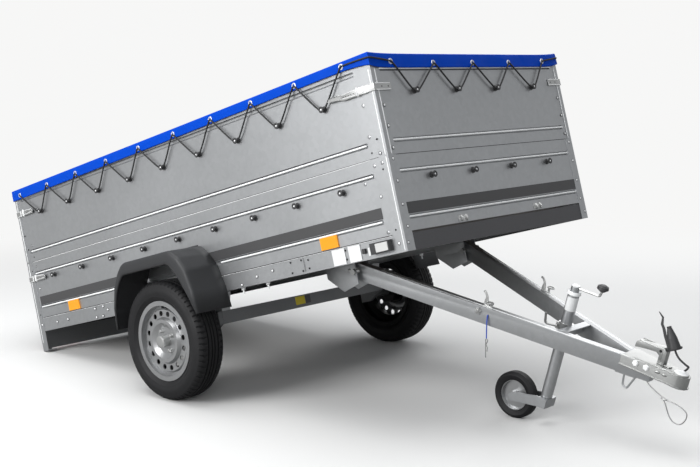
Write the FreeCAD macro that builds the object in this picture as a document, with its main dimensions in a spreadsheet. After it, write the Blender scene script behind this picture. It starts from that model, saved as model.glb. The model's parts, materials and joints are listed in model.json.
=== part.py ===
import FreeCAD, Part
import math
import os
import re
import Sketcher

# A tipping box trailer with double side boards, a flat tarpaulin and a jockey wheel.
# It stands as it parks with its bed tipped: on the feet of its rear posts, on its two
# wheels and on the jockey wheel. Lengths are in millimetres and angles in degrees.
# The bed's own frame has x forward from the rear face, y to the left and z up from the
# underside of the chassis rails. The drawbar's own frame starts at its pivot line.

sizeRows = [
    ("bedLength", 2660),
    ("bedWidth", 1290),
    ("railHeight", 75),
    ("railFlange", 45),
    ("plate", 2),
    ("sheet", 1.5),
    ("seat", 0.3),
    ("gap", 5),
    ("floorThick", 12),
    ("floorRearInset", 34),
    ("lowerTop", 374),
    ("upperTop", 758),
    ("boardFlange", 25),
    ("beadDepth", 6),
    ("beadHalf", 10),
    ("beadCrest", 4),
    ("beadRearEnd", 55),
    ("beadFrontGap", 93),
    ("lowBeadA", 129),
    ("lowBeadB", 310),
    ("highBeadA", 430),
    ("highBeadB", 712),
    ("rearPostWidth", 50),
    ("frontPostWidth", 48),
    ("upperPostWidth", 28),
    ("postFoot", 105),
    ("footPad", 6),
    ("sillHeight", 68),
    ("sillFlange", 30),
    ("rearBarSetback", 18),
    ("memberWidth", 60),
    ("memberDepth", 52),
    ("axleX", 1276),
    ("wheelDrop", 162),
    ("axleTube", 60),
    ("axleWall", 4),
    ("axleAhead", 90),
    ("axleRaise", 49),
    ("axleHalf", 545),
    ("armWide", 22),
    ("armDeep", 58),
    ("hangerWide", 50),
    ("wheelCentreY", 748),
    ("tyreRadius", 273),
    ("tyreWidth", 155),
    ("tyreShoulder", 22),
    ("treadWidth", 122),
    ("tyreWall", 11),
    ("rimRadius", 182),
    ("rimWidth", 126),
    ("rimSheet", 4),
    ("rimWell", 132),
    ("rimBead", 165),
    ("discOffset", 46),
    ("discRing", 98),
    ("discRingDepth", 16),
    ("ventBand", 17),
    ("ventRadius", 12),
    ("ventCircle", 124),
    ("ventCount", 16),
    ("hubRadius", 66),
    ("hubLength", 62),
    ("capRadius", 27),
    ("capLength", 34),
    ("stubRadius", 15),
    ("guardWall", 4),
    ("guardHalf", 315),
    ("guardTop", 227),
    ("guardFoot", 72),
    ("guardWidth", 196),
    ("guardLip", 50),
    ("guardFlange", 6),
    ("pivotSetback", 510),
    ("pivotDrop", 32),
    ("armHeight", 70),
    ("armWidth", 40),
    ("armWall", 3),
    ("armRear", 45),
    ("armHollow", 1010),
    ("armNose", 60),
    ("drawApex", 1275),
    ("drawSpread", 400),
    ("pinRadius", 8),
    ("pinPlay", 0.05),
    ("cheekOuter", 419),
    ("cheekInner", 337),
    ("cheekThick", 4),
    ("cheekRear", 160),
    ("cheekFront", 15),
    ("cheekTipBack", 76),
    ("cheekTipDrop", 107),
    ("couplingRear", 1096),
    ("ballX", 1322),
    ("couplingTop", 50),
    ("couplingRise", 9),
    ("couplingLow", 2),
    ("couplingLip", 5),
    ("couplingWall", 4),
    ("noseRadius", 38),
    ("ballRadius", 25.2),
    ("ballDepth", 14),
    ("handleNeckX", 1237),
    ("handleTop", 118),
    ("handleLength", 118),
    ("handleWidth", 30),
    ("handleThick", 28),
    ("handleWall", 3),
    ("barX", 829),
    ("barThick", 6),
    ("barDepth", 46),
    ("barShelf", 34),
    ("standX", 800),
    ("sleeveRadius", 24),
    ("sleeveWall", 2.6),
    ("sleeveDrop", 300),
    ("forkDrop", 60),
    ("sleeveTop", 167),
    ("headRadius", 26),
    ("headCollar", 8),
    ("headNeck", 18),
    ("headHeight", 32),
    ("crankRadius", 5),
    ("crankLevel", 24),
    ("crankReach", 112),
    ("crankRise", 26),
    ("knobRadius", 24),
    ("knobHeight", 28),
    ("clampWall", 4.5),
    ("clampRod", 5),
    ("clampRodBack", 74),
    ("clampRodRise", 44),
    ("clampHeight", 52),
    ("legPlay", 0.4),
    ("legWall", 2.6),
    ("legLength", 330),
    ("forkTrail", 140),
    ("forkPlate", 4),
    ("forkHalf", 34),
    ("forkDeep", 40),
    ("jockeyRadius", 100),
    ("jockeyWidth", 50),
    ("jockeyRim", 64),
    ("jockeyHub", 20),
    ("jockeyAxle", 8),
    ("jockeyWall", 8),
    ("lockX", 545),
    ("lockLength", 56),
    ("lockHigh", 62),
    ("lockThick", 5),
    ("tarpThick", 4),
    ("tarpSkirt", 45),
    ("tarpPlay", 3),
    ("lampWide", 210),
    ("lampHigh", 74),
    ("lampDeep", 32),
    ("lampLow", 84),
    ("hingeY", 267),
    ("hingeWide", 26),
    ("hingePin", 4),
    ("knuckle", 6),
    ("knuckleOut", 7.5),
    ("hingeLeaf", 62),
    ("hookLow", 281),
    ("hookHigh", 616),
    ("hookWidth", 16),
    ("hookDrop", 16),
    ("hookReach", 19),
    ("hookThick", 3.5),
    ("hookStart", 240),
    ("hookEnd", 280),
    ("hookCount", 9),
    ("endHookHalf", 410),
    ("endHookPitch", 273),
    ("endHookCount", 4),
    ("cordRadius", 3.5),
    ("cordBend", 8),
    ("cordFlat", 12),
    ("eyeletStart", 72),
    ("eyeletEnd", 140),
    ("endEyeletHalf", 526),
    ("endEyeletPitch", 263),
    ("eyeletDrop", 14),
    ("latchHigh", 30),
    ("latchThick", 4),
    ("latchProud", 13),
    ("latchReach", 168),
    ("latchGrip", 84),
    ("latchUpper", 640),
    ("latchLower", 285),
    ("strikeReach", 100),
    ("reflectorLong", 98),
    ("reflectorHigh", 50),
    ("reflectorThick", 7),
    ("reflectorZ", 100),
    ("reflectorRear", 325),
    ("reflectorFront", 447),
    ("markerLong", 100),
    ("markerHigh", 44),
    ("markerDeep", 24),
    ("markerZ", 37),
    ("markerFront", 170),
    ("markerLens", 64),
    ("markerRim", 5),
    ("lugWide", 62),
    ("lugHigh", 26),
    ("lugZ", 92),
    ("lockPin", 5),
    ("lockRing", 16),
    ("lockWire", 2.5),
    ("hoopX", 1100),
    ("hoopWide", 55),
    ("hoopDeep", 62),
    ("hoopWire", 4),
    ("plugX", 1272.3),
    ("plugZ", 123.8),
    ("plugLean", 33),
    ("plugRim", 27),
    ("plugRimHigh", 9),
    ("plugLength", 92),
    ("plugTip", 10),
    ("plugStem", 9),
    ("plugBand", 2),
    ("plugBandHigh", 5),
    ("plugCordRadius", 4),
    ("glandX", 1050),
    ("glandZ", 12),
    ("cableX", 1207),
    ("cableOff", 14),
    ("cableRun", 95),
    ("cableSwing", 19),
    ("cableSink", 20),
    ("cableEye", 107),
    ("cableRadius", 2.2),
    ("clipX", 570),
    ("clipZ", 8),
    ("clipOut", 9),
    ("clipWire", 1.8),
    ("clipLength", 78),
    ("clipEye", 8),
    ("strapLength", 92),
    ("strapRadius", 2.5),
]

document = FreeCAD.newDocument("TippingTrailer")
sheet = document.addObject("Spreadsheet::Sheet", "Sizes")
aliases = set()
for row, (alias, value) in enumerate(sizeRows, 1):
    sheet.set(f"A{row}", alias)
    sheet.set(f"B{row}", str(value))
    sheet.setAlias(f"B{row}", alias)
    aliases.add(alias)
document.recompute()

# Places that follow from the sizes and are used by many pieces.
sums = {
    "pivotX": "(bedLength - pivotSetback)",
    "jockeyDrop": "(sleeveDrop + forkDrop)",
    "hookPitch": "((bedLength - hookStart - hookEnd) / (hookCount - 1))",
    "eyeletPitch": "((bedLength - eyeletStart - eyeletEnd) / hookCount)",
    "beadFrontEnd": "(bedLength - beadFrontGap)",
    "ballLift": "(ballDepth - couplingLow)",
}


def bound(expression):
    """The expression with each size's name pointing at its cell."""

    def named(word):
        name = word.group()
        if name in sums:
            return bound(sums[name])
        return "Sizes." + name if name in aliases else name

    return re.sub(r"[A-Za-z_]\w*", named, str(expression))


def size(expression):
    """The present value of a size or of a sum of sizes."""
    return float(sheet.evalExpression(bound(expression)))


def bind(item, **settings):
    for name, expression in settings.items():
        item.setExpression(name.replace("_", "."), bound(expression))


# Sketches and solids

planeNames = {"XY": "XY_Plane", "XZ": "XZ_Plane", "YZ": "YZ_Plane"}


def newBody(name):
    return document.addObject("PartDesign::Body", name)


def newSketch(body, plane, start="0"):
    """A sketch on one of the body's origin planes, moved along that plane's axis."""
    sketch = body.newObject("Sketcher::SketchObject", body.Name + "Sketch")
    role = planeNames[plane]
    support = [feature for feature in body.Origin.OriginFeatures if feature.Role == role]
    sketch.AttachmentSupport = [(support[0], "")]
    sketch.MapMode = "FlatFace"
    sign = "-" if plane == "XZ" else ""
    bind(sketch, AttachmentOffset_Base_z=f"{sign}({start})")
    return sketch


def drawOutline(sketch, corners):
    """A closed outline of straight lines whose corners stay bound to the sizes."""
    places = [FreeCAD.Vector(size(u), size(v), 0) for u, v in corners]
    first = sketch.GeometryCount
    count = len(corners)
    for index, place in enumerate(places):
        sketch.addGeometry(Part.LineSegment(place, places[(index + 1) % count]), False)
    for index, (u, v) in enumerate(corners):
        line = first + index
        following = first + (index + 1) % count
        sketch.addConstraint(Sketcher.Constraint("Coincident", line, 2, following, 1))
        for axis, expression, value in (("X", u, places[index].x), ("Y", v, places[index].y)):
            place = Sketcher.Constraint("Distance" + axis, -1, 1, line, 1, value)
            number = sketch.addConstraint(place)
            sketch.setExpression(f"Constraints[{number}]", bound(expression))


def drawCircle(sketch, u, v, radius):
    centre = FreeCAD.Vector(size(u), size(v), 0)
    circle = sketch.addGeometry(Part.Circle(centre, FreeCAD.Vector(0, 0, 1), size(radius)), False)
    for kind, expression, value in (("X", u, centre.x), ("Y", v, centre.y)):
        number = sketch.addConstraint(
            Sketcher.Constraint("Distance" + kind, -1, 1, circle, 3, value)
        )
        sketch.setExpression(f"Constraints[{number}]", bound(expression))
    number = sketch.addConstraint(Sketcher.Constraint("Radius", circle, size(radius)))
    sketch.setExpression(f"Constraints[{number}]", bound(radius))


def addFeature(body, kind, plane, start, length, outlines=(), circles=()):
    """A pad or pocket that runs from start along the plane's axis over length."""
    sketch = newSketch(body, plane, start)
    for corners in outlines:
        drawOutline(sketch, corners)
    for u, v, radius in circles:
        drawCircle(sketch, u, v, radius)
    feature = body.newObject("PartDesign::" + kind, body.Name + kind)
    feature.Profile = sketch
    bind(feature, Length=length)
    alongAxis = plane != "XZ"
    feature.Reversed = not alongAxis if kind == "Pad" else alongAxis
    return feature


def pad(body, plane, start, length, outlines=(), circles=()):
    return addFeature(body, "Pad", plane, start, length, outlines, circles)


def pocket(body, plane, start, length, outlines=(), circles=()):
    return addFeature(body, "Pocket", plane, start, length, outlines, circles)


def revolve(body, corners, axis="V_Axis", plane="XZ", kind="Revolution", start="0"):
    """A full turn of an outline about one of its sketch's axes."""
    sketch = newSketch(body, plane, start)
    drawOutline(sketch, corners)
    feature = body.newObject("PartDesign::" + kind, body.Name + kind)
    feature.Profile = sketch
    feature.ReferenceAxis = (sketch, [axis])
    feature.Angle = 360
    return feature


def rounded(body, radius, chosen):
    """Rounds the edges of the body's tip that the test picks out."""
    document.recompute()
    base = body.Tip
    names = [f"Edge{n}" for n, edge in enumerate(base.Shape.Edges, 1) if chosen(edge)]
    fillet = body.newObject("PartDesign::Fillet", body.Name + "Fillet")
    fillet.Base = (base, names)
    bind(fillet, Radius=radius)
    return fillet


def rectangle(u0, v0, u1, v1):
    return [(u0, v0), (u1, v0), (u1, v1), (u0, v1)]


def mirrored(corners, side):
    """The same outline on the given side, with its first coordinate across the trailer."""
    return [(f"{side} * ({u})", v) for u, v in corners]


def gathered(name, pieces):
    """Like pieces that do not touch, kept as one node."""
    group = document.addObject("Part::Compound", name)
    group.Links = pieces
    return group


def joined(name, pieces):
    """Pieces that are welded into one solid."""
    whole = document.addObject("Part::MultiFuse", name)
    whole.Shapes = pieces
    return whole


def plain(name, plane, start, length, outlines=(), circles=()):
    body = newBody(name)
    pad(body, plane, start, length, outlines, circles)
    return body


def repeated(body, feature, axisName, length, count):
    """The feature repeated in a straight row, as solids of one body that do not touch."""
    body.AllowCompound = True
    row = body.newObject("PartDesign::LinearPattern", body.Name + "Row")
    row.Originals = [feature]
    axis = [entry for entry in body.Origin.OriginFeatures if entry.Role == axisName]
    row.Direction = (axis[0], [""])
    bind(row, Length=length)
    row.Occurrences = int(size(count))
    body.Tip = row
    return row


def roundedPath(points, bend):
    """Straight runs joined by tangent arcs; a bend of 0 takes the largest that fits."""
    edges = []
    start = points[0]
    radii = []
    for before, corner, after in zip(points, points[1:], points[2:]):
        back, ahead = (before - corner), (after - corner)
        shorter = min(back.Length, ahead.Length)
        half = (math.pi - back.getAngle(ahead)) / 2
        largest = shorter * bendShare / math.tan(half)
        radius = min(bend, largest) if bend else largest
        radii.append(radius)
        reach = radius * math.tan(half)
        back.normalize()
        ahead.normalize()
        middle = back + ahead
        middle.normalize()
        inner = corner + middle * (radius / math.cos(half) - radius)
        first, last = corner + back * reach, corner + ahead * reach
        edges.append(Part.LineSegment(start, first).toShape())
        edges.append(Part.Arc(first, inner, last).toShape())
        start = last
    edges.append(Part.LineSegment(start, points[-1]).toShape())
    return Part.Wire(edges), radii


def tube(path, radius, sides=0):
    """A solid swept along the path, round or with the given number of sides."""
    start = path.Vertexes[0].Point
    along = path.Edges[0].tangentAt(path.Edges[0].FirstParameter)
    if sides:
        across = along.cross(FreeCAD.Vector(0, 0, 1))
        across.normalize()
        turnBy = [FreeCAD.Rotation(along, 360 * n / sides) for n in range(sides + 1)]
        outline = Part.makePolygon([start + spin.multVec(across) * radius for spin in turnBy])
    else:
        outline = Part.Wire(Part.makeCircle(radius, start, along))
    return path.makePipeShell([outline], True, False)


def swept(name, points, radius, bend=0, sides=0):
    """A rod or cord along the points, which are given in sizes or in millimetres."""
    corners = [FreeCAD.Vector(*[size(value) for value in point]) for point in points]
    path, radii = roundedPath(corners, size(bend))
    rod = document.addObject("Part::Feature", name)
    rod.Shape = tube(path, size(radius), sides)
    expected = path.Length * rod.Shape.Faces[0].Surface.Radius ** 2 * math.pi if not sides else 0
    print(name, "length", round(path.Length, 1), "bends from", round(min(radii or [0]), 1),
          "volume ratio", round(rod.Shape.Volume / expected, 4) if expected else "faceted")
    return rod


bendShare = 0.45


# Frames in which the pieces are made, and their places when the trailer stands

nodes = []


def keep(item, label, frame):
    item.Label = label
    nodes.append((item, label, frame))


def turn(angle):
    """A rotation that lifts the front by the given angle."""
    return FreeCAD.Rotation(FreeCAD.Vector(0, 1, 0), -angle)


def placed(x, y, z, angle=0):
    return FreeCAD.Placement(FreeCAD.Vector(x, y, z), turn(angle))


postReach = size("postFoot - wheelDrop")
footArm = math.hypot(size("axleX"), postReach)
bedTilt = math.degrees(
    math.asin(size("tyreRadius") / footArm) + math.atan2(-postReach, size("axleX"))
)
axlePlace = placed(0, 0, size("tyreRadius"), bedTilt)
bedFrame = axlePlace * placed(-size("axleX"), 0, size("wheelDrop"))
pivotPoint = bedFrame.multVec(FreeCAD.Vector(size("pivotX"), 0, -size("pivotDrop")))

# The drawbar leans until the jockey wheel at the foot of its stand meets the ground.
standReach = size("standX - forkTrail")
standFall = pivotPoint.z - size("jockeyRadius")
drawTilt = math.degrees(
    math.atan2(size("jockeyDrop"), standReach)
    - math.asin(standFall / math.hypot(standReach, size("jockeyDrop")))
)
drawFrame = placed(pivotPoint.x, 0, pivotPoint.z, drawTilt)
jockeyPlace = drawFrame * placed(standReach, 0, -size("jockeyDrop"))
wheelPlaces = {
    side: bedFrame * placed(size("axleX"), side * size("wheelCentreY"), -size("wheelDrop"))
    for side in (-1, 1)
}
sideNames = {-1: "right", 1: "left"}


# Chassis

faceY = "(bedWidth / 2 - plate)"
rearX = "plate"
frontX = "(bedLength - plate)"


def sideRail(side):
    """A folded channel that opens inwards, under the side boards."""
    inner = f"{faceY} - railFlange"
    web = f"{faceY} - plate"
    corners = [
        (faceY, "0"),
        (faceY, "railHeight"),
        (inner, "railHeight"),
        (inner, "railHeight - plate"),
        (web, "railHeight - plate"),
        (web, "plate"),
        (inner, "plate"),
        (inner, "0"),
    ]
    length = f"{frontX} - {rearX}"
    return plain("SideRail", "YZ", rearX, length, [mirrored(corners, side)])


def endSill(front):
    """The folded cross channel between the posts at one end of the bed."""
    outer = f"{frontX} - seat" if front else f"{rearX} + seat"
    inward = "-" if front else "+"
    inner = f"{outer} {inward} sillFlange"
    web = f"{outer} {inward} plate"
    corners = [
        (outer, "0"),
        (outer, "sillHeight"),
        (inner, "sillHeight"),
        (inner, "sillHeight - plate"),
        (web, "sillHeight - plate"),
        (web, "plate"),
        (inner, "plate"),
        (inner, "0"),
    ]
    half = f"({faceY} - railFlange)"
    return plain("EndSill", "XZ", f"-{half}", f"2 * {half}", [corners])


def crossMember(centre, depth):
    """A top-hat member between the rails, under the floor."""
    back = f"{centre} - memberWidth / 2"
    ahead = f"{centre} + memberWidth / 2"
    low = f"railHeight - {depth}"
    corners = [
        (back, "railHeight"),
        (back, low),
        (f"{back} + plate", low),
        (f"{back} + plate", "railHeight - plate"),
        (f"{ahead} - plate", "railHeight - plate"),
        (f"{ahead} - plate", low),
        (ahead, low),
        (ahead, "railHeight"),
    ]
    half = f"({faceY} - railFlange)"
    return plain("CrossMember", "XZ", f"-{half}", f"2 * {half}", [corners])


memberShares = [0.16, 0.33, 0.66, 0.9]
pivotMember = "(pivotX - cheekTipBack)"
memberPlaces = [f"bedLength * {share}" for share in memberShares] + [pivotMember]


def floorPanel():
    half = f"({faceY} - sheet - boardFlange - seat)"
    outline = rectangle(
        "floorRearInset", f"-{half}", f"{frontX} - sheet - boardFlange - seat", half
    )
    return plain("FloorPanel", "XY", "railHeight", "floorThick", [outline])


def cornerPost(front, side, low, high, width, depth=None):
    """An angle that wraps one corner of the bed over the given height."""
    outerX = "bedLength" if front else "0"
    inward = "-" if front else "+"
    depth = depth or width
    edge = "bedWidth / 2"
    corners = [
        (outerX, f"{side} * {edge}"),
        (f"{outerX} {inward} {depth}", f"{side} * {edge}"),
        (f"{outerX} {inward} {depth}", f"{side} * ({edge} - plate)"),
        (f"{outerX} {inward} plate", f"{side} * ({edge} - plate)"),
        (f"{outerX} {inward} plate", f"{side} * ({edge} - {width})"),
        (outerX, f"{side} * ({edge} - {width})"),
    ]
    return plain("CornerPost", "XY", low, f"{high} - ({low})", [corners])


def rearPost(side):
    """A rear corner post with the foot that the tipped bed stands on."""
    post = cornerPost(False, side, "-postFoot", "lowerTop", "rearPostWidth")
    inner = f"{side} * (bedWidth / 2 - rearPostWidth)"
    outer = f"{side} * bedWidth / 2"
    foot = rectangle("0", inner, "rearPostWidth", outer)
    pad(post, "XY", "-postFoot", "footPad", [foot])
    return post


for label, pieces in (
    ("side_rails", [sideRail(-1), sideRail(1)]),
    ("end_sills", [endSill(True), endSill(False)]),
    ("cross_members", [crossMember(place, "memberDepth") for place in memberPlaces]),
    ("rear_posts", [rearPost(-1), rearPost(1)]),
    (
        "front_posts",
        [cornerPost(True, side, "0", "lowerTop", "frontPostWidth") for side in (-1, 1)],
    ),
    (
        "upper_posts",
        [
            cornerPost(front, side, "lowerTop", "upperTop", "upperPostWidth")
            for front in (False, True)
            for side in (-1, 1)
        ],
    ),
):
    keep(gathered(label, pieces), label, "bed")
keep(floorPanel(), "floor_panel", "bed")


# Boards

def bead(across, level):
    """The outline of a bead pressed inwards from the given face."""
    return [
        (across, f"{level} - beadHalf"),
        (f"{across} - beadDepth", f"{level} - beadCrest"),
        (f"{across} - beadDepth", f"{level} + beadCrest"),
        (across, f"{level} + beadHalf"),
    ]


def folded(face, low, high):
    """A board's section, folded inwards at its foot and head."""
    return [
        (face, low),
        (face, high),
        (f"{face} - boardFlange", high),
        (f"{face} - boardFlange", f"{high} - sheet"),
        (f"{face} - sheet", f"{high} - sheet"),
        (f"{face} - sheet", f"{low} + sheet"),
        (f"{face} - boardFlange", f"{low} + sheet"),
        (f"{face} - boardFlange", low),
    ]


def board(name, plane, section, low, high, span, beadSpan, levels):
    """A pressed board: folded sheet with beads, hollow behind them."""
    start, length = span
    beadStart, beadLength = beadSpan
    body = newBody(name)
    pad(body, plane, start, length, [section(folded(faceOf[plane], low, high))])
    face = faceOf[plane]
    backs = [section(bead(f"{face} - sheet", level)) for level in levels]
    pad(body, plane, f"{beadStart} - sheet", f"{beadLength} + 2 * sheet", backs)
    grooves = [section(bead(face, level)) for level in levels]
    pocket(body, plane, beadStart, beadLength, grooves)
    return body


faceOf = {"YZ": faceY, "XZ": "boardFace"}
sideSpan = (rearX, f"{frontX} - {rearX}")
sideBeads = ("beadRearEnd", "beadFrontEnd - beadRearEnd")
lowerLevels = ("lowBeadA", "lowBeadB")
upperLevels = ("highBeadA", "highBeadB")


def sideBoard(side, low, high, levels):
    section = lambda corners: mirrored(corners, side)
    return board("SideBoard", "YZ", section, low, high, sideSpan, sideBeads, levels)


def endBoard(front, low, high, half, levels, face):
    """A board across one end; its face lies at the given x."""
    faceOf["XZ"] = "0"
    sign = "" if front else "-"
    section = lambda corners: [(f"{face} + {sign}({u})", v) for u, v in corners]
    span = (f"-({half})", f"2 * ({half})")
    margin = "boardFlange"
    beads = (f"-({half} - {margin})", f"2 * ({half} - {margin})")
    return board("EndBoard", "XZ", section, low, high, span, beads, levels)


for side in (-1, 1):
    lower = sideBoard(side, "railHeight", "lowerTop", lowerLevels)
    keep(lower, f"lower_board_{sideNames[side]}", "bed")
    upper = sideBoard(side, "lowerTop", "upperTop", upperLevels)
    keep(upper, f"upper_board_{sideNames[side]}", "bed")

insideY = f"({faceY} - sheet - seat)"
frontLower = endBoard(True, "railHeight", "lowerTop", f"{faceY} - boardFlange - sheet - seat",
                      lowerLevels, f"{frontX}")
keep(frontLower, "lower_board_front", "bed")
upperHalf = f"{faceY} - boardFlange - sheet - seat"
keep(
    endBoard(True, "lowerTop", "upperTop", upperHalf, upperLevels, f"{frontX}"),
    "upper_board_front",
    "bed",
)
keep(
    endBoard(False, "lowerTop", "upperTop", upperHalf, upperLevels, f"{rearX}"),
    "upper_board_rear",
    "bed",
)

# The tailgate swings down about pins below its foot, clear of the posts and of the
# board above. Its two leaves carry a knuckle on each side of the one on the sill.

gateHalf = "(bedWidth / 2 - rearPostWidth - gap)"
gateLow = "(railHeight + gap)"
gateHigh = "(lowerTop - gap)"
hingeX = "-knuckleOut"
hingeZ = "railHeight"
hingeCircle = [(hingeX, hingeZ, "knuckle")]
hingeBore = [(hingeX, hingeZ, "hingePin + pinPlay")]


def gateKnuckles(tailgate, centre):
    """Two leaves on the gate's face, each rolled round the hinge pin at its foot."""
    leaf = [
        ("0", f"{gateLow} + plate"),
        ("0", f"{gateLow} + hingeLeaf"),
        ("-plate", f"{gateLow} + hingeLeaf"),
        ("-plate", f"{gateLow} + 2 * knuckle"),
        (f"{hingeX} - knuckle", f"{hingeZ} + knuckle / 2"),
        (f"{hingeX} - knuckle", hingeZ),
        (f"{hingeX} + knuckle", hingeZ),
        (f"{hingeX} + knuckle", f"{hingeZ} + knuckle"),
    ]
    for side in (-1, 1):
        start = f"{centre} + {side} * (hingeWide + seat) - hingeWide / 2"
        pad(tailgate, "XZ", start, "hingeWide", [leaf])
        pad(tailgate, "XZ", start, "hingeWide", circles=hingeCircle)
        pocket(tailgate, "XZ", f"{start} - seat / 4", "hingeWide + seat / 2", circles=hingeBore)


def sillHinge(centre):
    """The middle knuckle on its leaf against the rear sill."""
    face = f"{rearX}"
    corners = [
        (face, "sillHeight - hingeLeaf"),
        (face, "sillHeight - knuckle / 2"),
        (f"{hingeX} + knuckle", "sillHeight"),
        (f"{hingeX} + knuckle", hingeZ),
        (f"{hingeX} - knuckle", hingeZ),
        (f"{hingeX} - knuckle", f"{hingeZ} - knuckle / 2"),
        (f"{hingeX} + knuckle", "sillHeight - 2 * knuckle"),
        (f"{face} - plate", "sillHeight - 2 * knuckle"),
        (f"{face} - plate", "sillHeight - hingeLeaf"),
    ]
    hinge = plain("SillHinge", "XZ", f"{centre} - hingeWide / 2", "hingeWide", [corners])
    start = f"{centre} - hingeWide / 2"
    pad(hinge, "XZ", start, "hingeWide", circles=hingeCircle)
    pocket(hinge, "XZ", f"{start} - seat / 4", "hingeWide + seat / 2", circles=hingeBore)
    return hinge


def hingePin(centre):
    start = f"{centre} - hingeWide * 1.5 - gap"
    return plain("HingePin", "XZ", start, "hingeWide * 3 + 2 * gap",
                 circles=[(hingeX, hingeZ, "hingePin")])


tailgate = endBoard(False, gateLow, gateHigh, gateHalf, lowerLevels, "0")
hingePlaces = ("-hingeY", "hingeY")
for centre in hingePlaces:
    gateKnuckles(tailgate, centre)
keep(tailgate, "tailgate", "bed")
keep(gathered("gate_hinges", [sillHinge(place) for place in hingePlaces]), "gate_hinges", "bed")
keep(gathered("hinge_pins", [hingePin(place) for place in hingePlaces]), "hinge_pins", "bed")
gateAxis = bedFrame.multVec(FreeCAD.Vector(size(hingeX), 0, size(hingeZ)))


# Axle and wheels

beamX = "(axleX + axleAhead)"
beamZ = "(axleRaise - wheelDrop)"


def axleBeam():
    """The square tube that carries both trailing arms."""
    half = "axleTube / 2"
    wall = "(axleTube / 2 - axleWall)"
    outer = rectangle(f"{beamX} - {half}", f"{beamZ} - {half}", f"{beamX} + {half}",
                      f"{beamZ} + {half}")
    inner = rectangle(f"{beamX} - {wall}", f"{beamZ} - {wall}", f"{beamX} + {wall}",
                      f"{beamZ} + {wall}")
    return plain("AxleBeam", "XZ", "-axleHalf", "2 * axleHalf", [outer, inner])


def axleHanger(side):
    """The plate bracket that hangs the beam from a side rail."""
    top = f"{side} * (axleHalf - hangerWide)"
    wide = "(axleTube / 2 + plate)"
    corners = [
        (f"{beamX} - axleTube", "0"),
        (f"{beamX} + axleTube", "0"),
        (f"{beamX} + {wide}", f"{beamZ} + axleTube / 2"),
        (f"{beamX} - {wide}", f"{beamZ} + axleTube / 2"),
    ]
    start = "axleHalf - hangerWide" if side > 0 else "-axleHalf"
    hanger = plain("AxleHanger", "XZ", start, "hangerWide", [corners])
    ledge = rectangle(f"{beamX} - axleTube", "-plate", f"{beamX} + axleTube", "0")
    reach = f"{faceY} - axleHalf + hangerWide"
    start = "axleHalf - hangerWide" if side > 0 else f"-{faceY}"
    pad(hanger, "XZ", start, reach, [ledge])
    return hanger


def trailingArm(side):
    """The crank from the beam's end back to the stub that carries the hub."""
    inner = "axleHalf + seat"
    start = inner if side > 0 else f"-({inner} + armWide)"
    half = "armDeep / 2"
    corners = [
        (f"{beamX} + {half}", f"{beamZ} - {half}"),
        (f"{beamX} + {half}", f"{beamZ} + {half}"),
        (f"{beamX} - {half}", f"{beamZ} + {half}"),
        (f"axleX - {half}", f"{half} / 2 - wheelDrop"),
        (f"axleX - {half}", f"-{half} - wheelDrop"),
        (f"axleX + {half}", f"-{half} - wheelDrop"),
    ]
    arm = plain("TrailingArm", "XZ", start, "armWide", [corners])
    stubStart = f"({inner} + armWide)"
    stubLength = "(wheelCentreY + hubLength / 2 - axleHalf - seat - armWide)"
    begin = stubStart if side > 0 else f"-({stubStart} + {stubLength})"
    pad(arm, "XZ", begin, stubLength, circles=[("axleX", "-wheelDrop", "stubRadius")])
    return arm


keep(axleBeam(), "axle_beam", "bed")
keep(gathered("axle_hangers", [axleHanger(-1), axleHanger(1)]), "axle_hangers", "bed")
keep(gathered("trailing_arms", [trailingArm(-1), trailingArm(1)]), "trailing_arms", "bed")


def tyre(radius, width, treadHalf, bead, flange, shoulder, wall):
    """A tyre turned about its axle: a carcass that is open towards the rim."""
    half = f"({width} / 2)"
    beadRadius, beadHalf = bead
    flangeRadius, flangeHalf = flange
    middle = f"(({radius} + {flangeRadius}) / 2)"
    outside = [
        (beadRadius, beadHalf),
        (flangeRadius, flangeHalf),
        (middle, half),
        (f"{radius} - {shoulder}", f"{half} * 0.93"),
        (radius, f"{treadHalf} * 0.8"),
    ]
    inside = [
        (f"{radius} - {wall} * 1.4", f"{treadHalf} * 0.9"),
        (beadRadius, f"{beadHalf} - {wall}"),
    ]

    def far(corners):
        return [(r, f"-({across})") for r, across in reversed(corners)]

    body = newBody("Tyre")
    revolve(body, outside + far(outside) + far(inside) + inside)
    return body


def roadTyre():
    bead = ("rimBead + seat", "(rimWidth / 2 - 2 * rimSheet - seat)")
    flange = ("rimRadius + seat", "(rimWidth / 2 - rimSheet - seat)")
    half = "(treadWidth / 2)"
    return tyre("tyreRadius", "tyreWidth", half, bead, flange, "tyreShoulder", "tyreWall")


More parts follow.
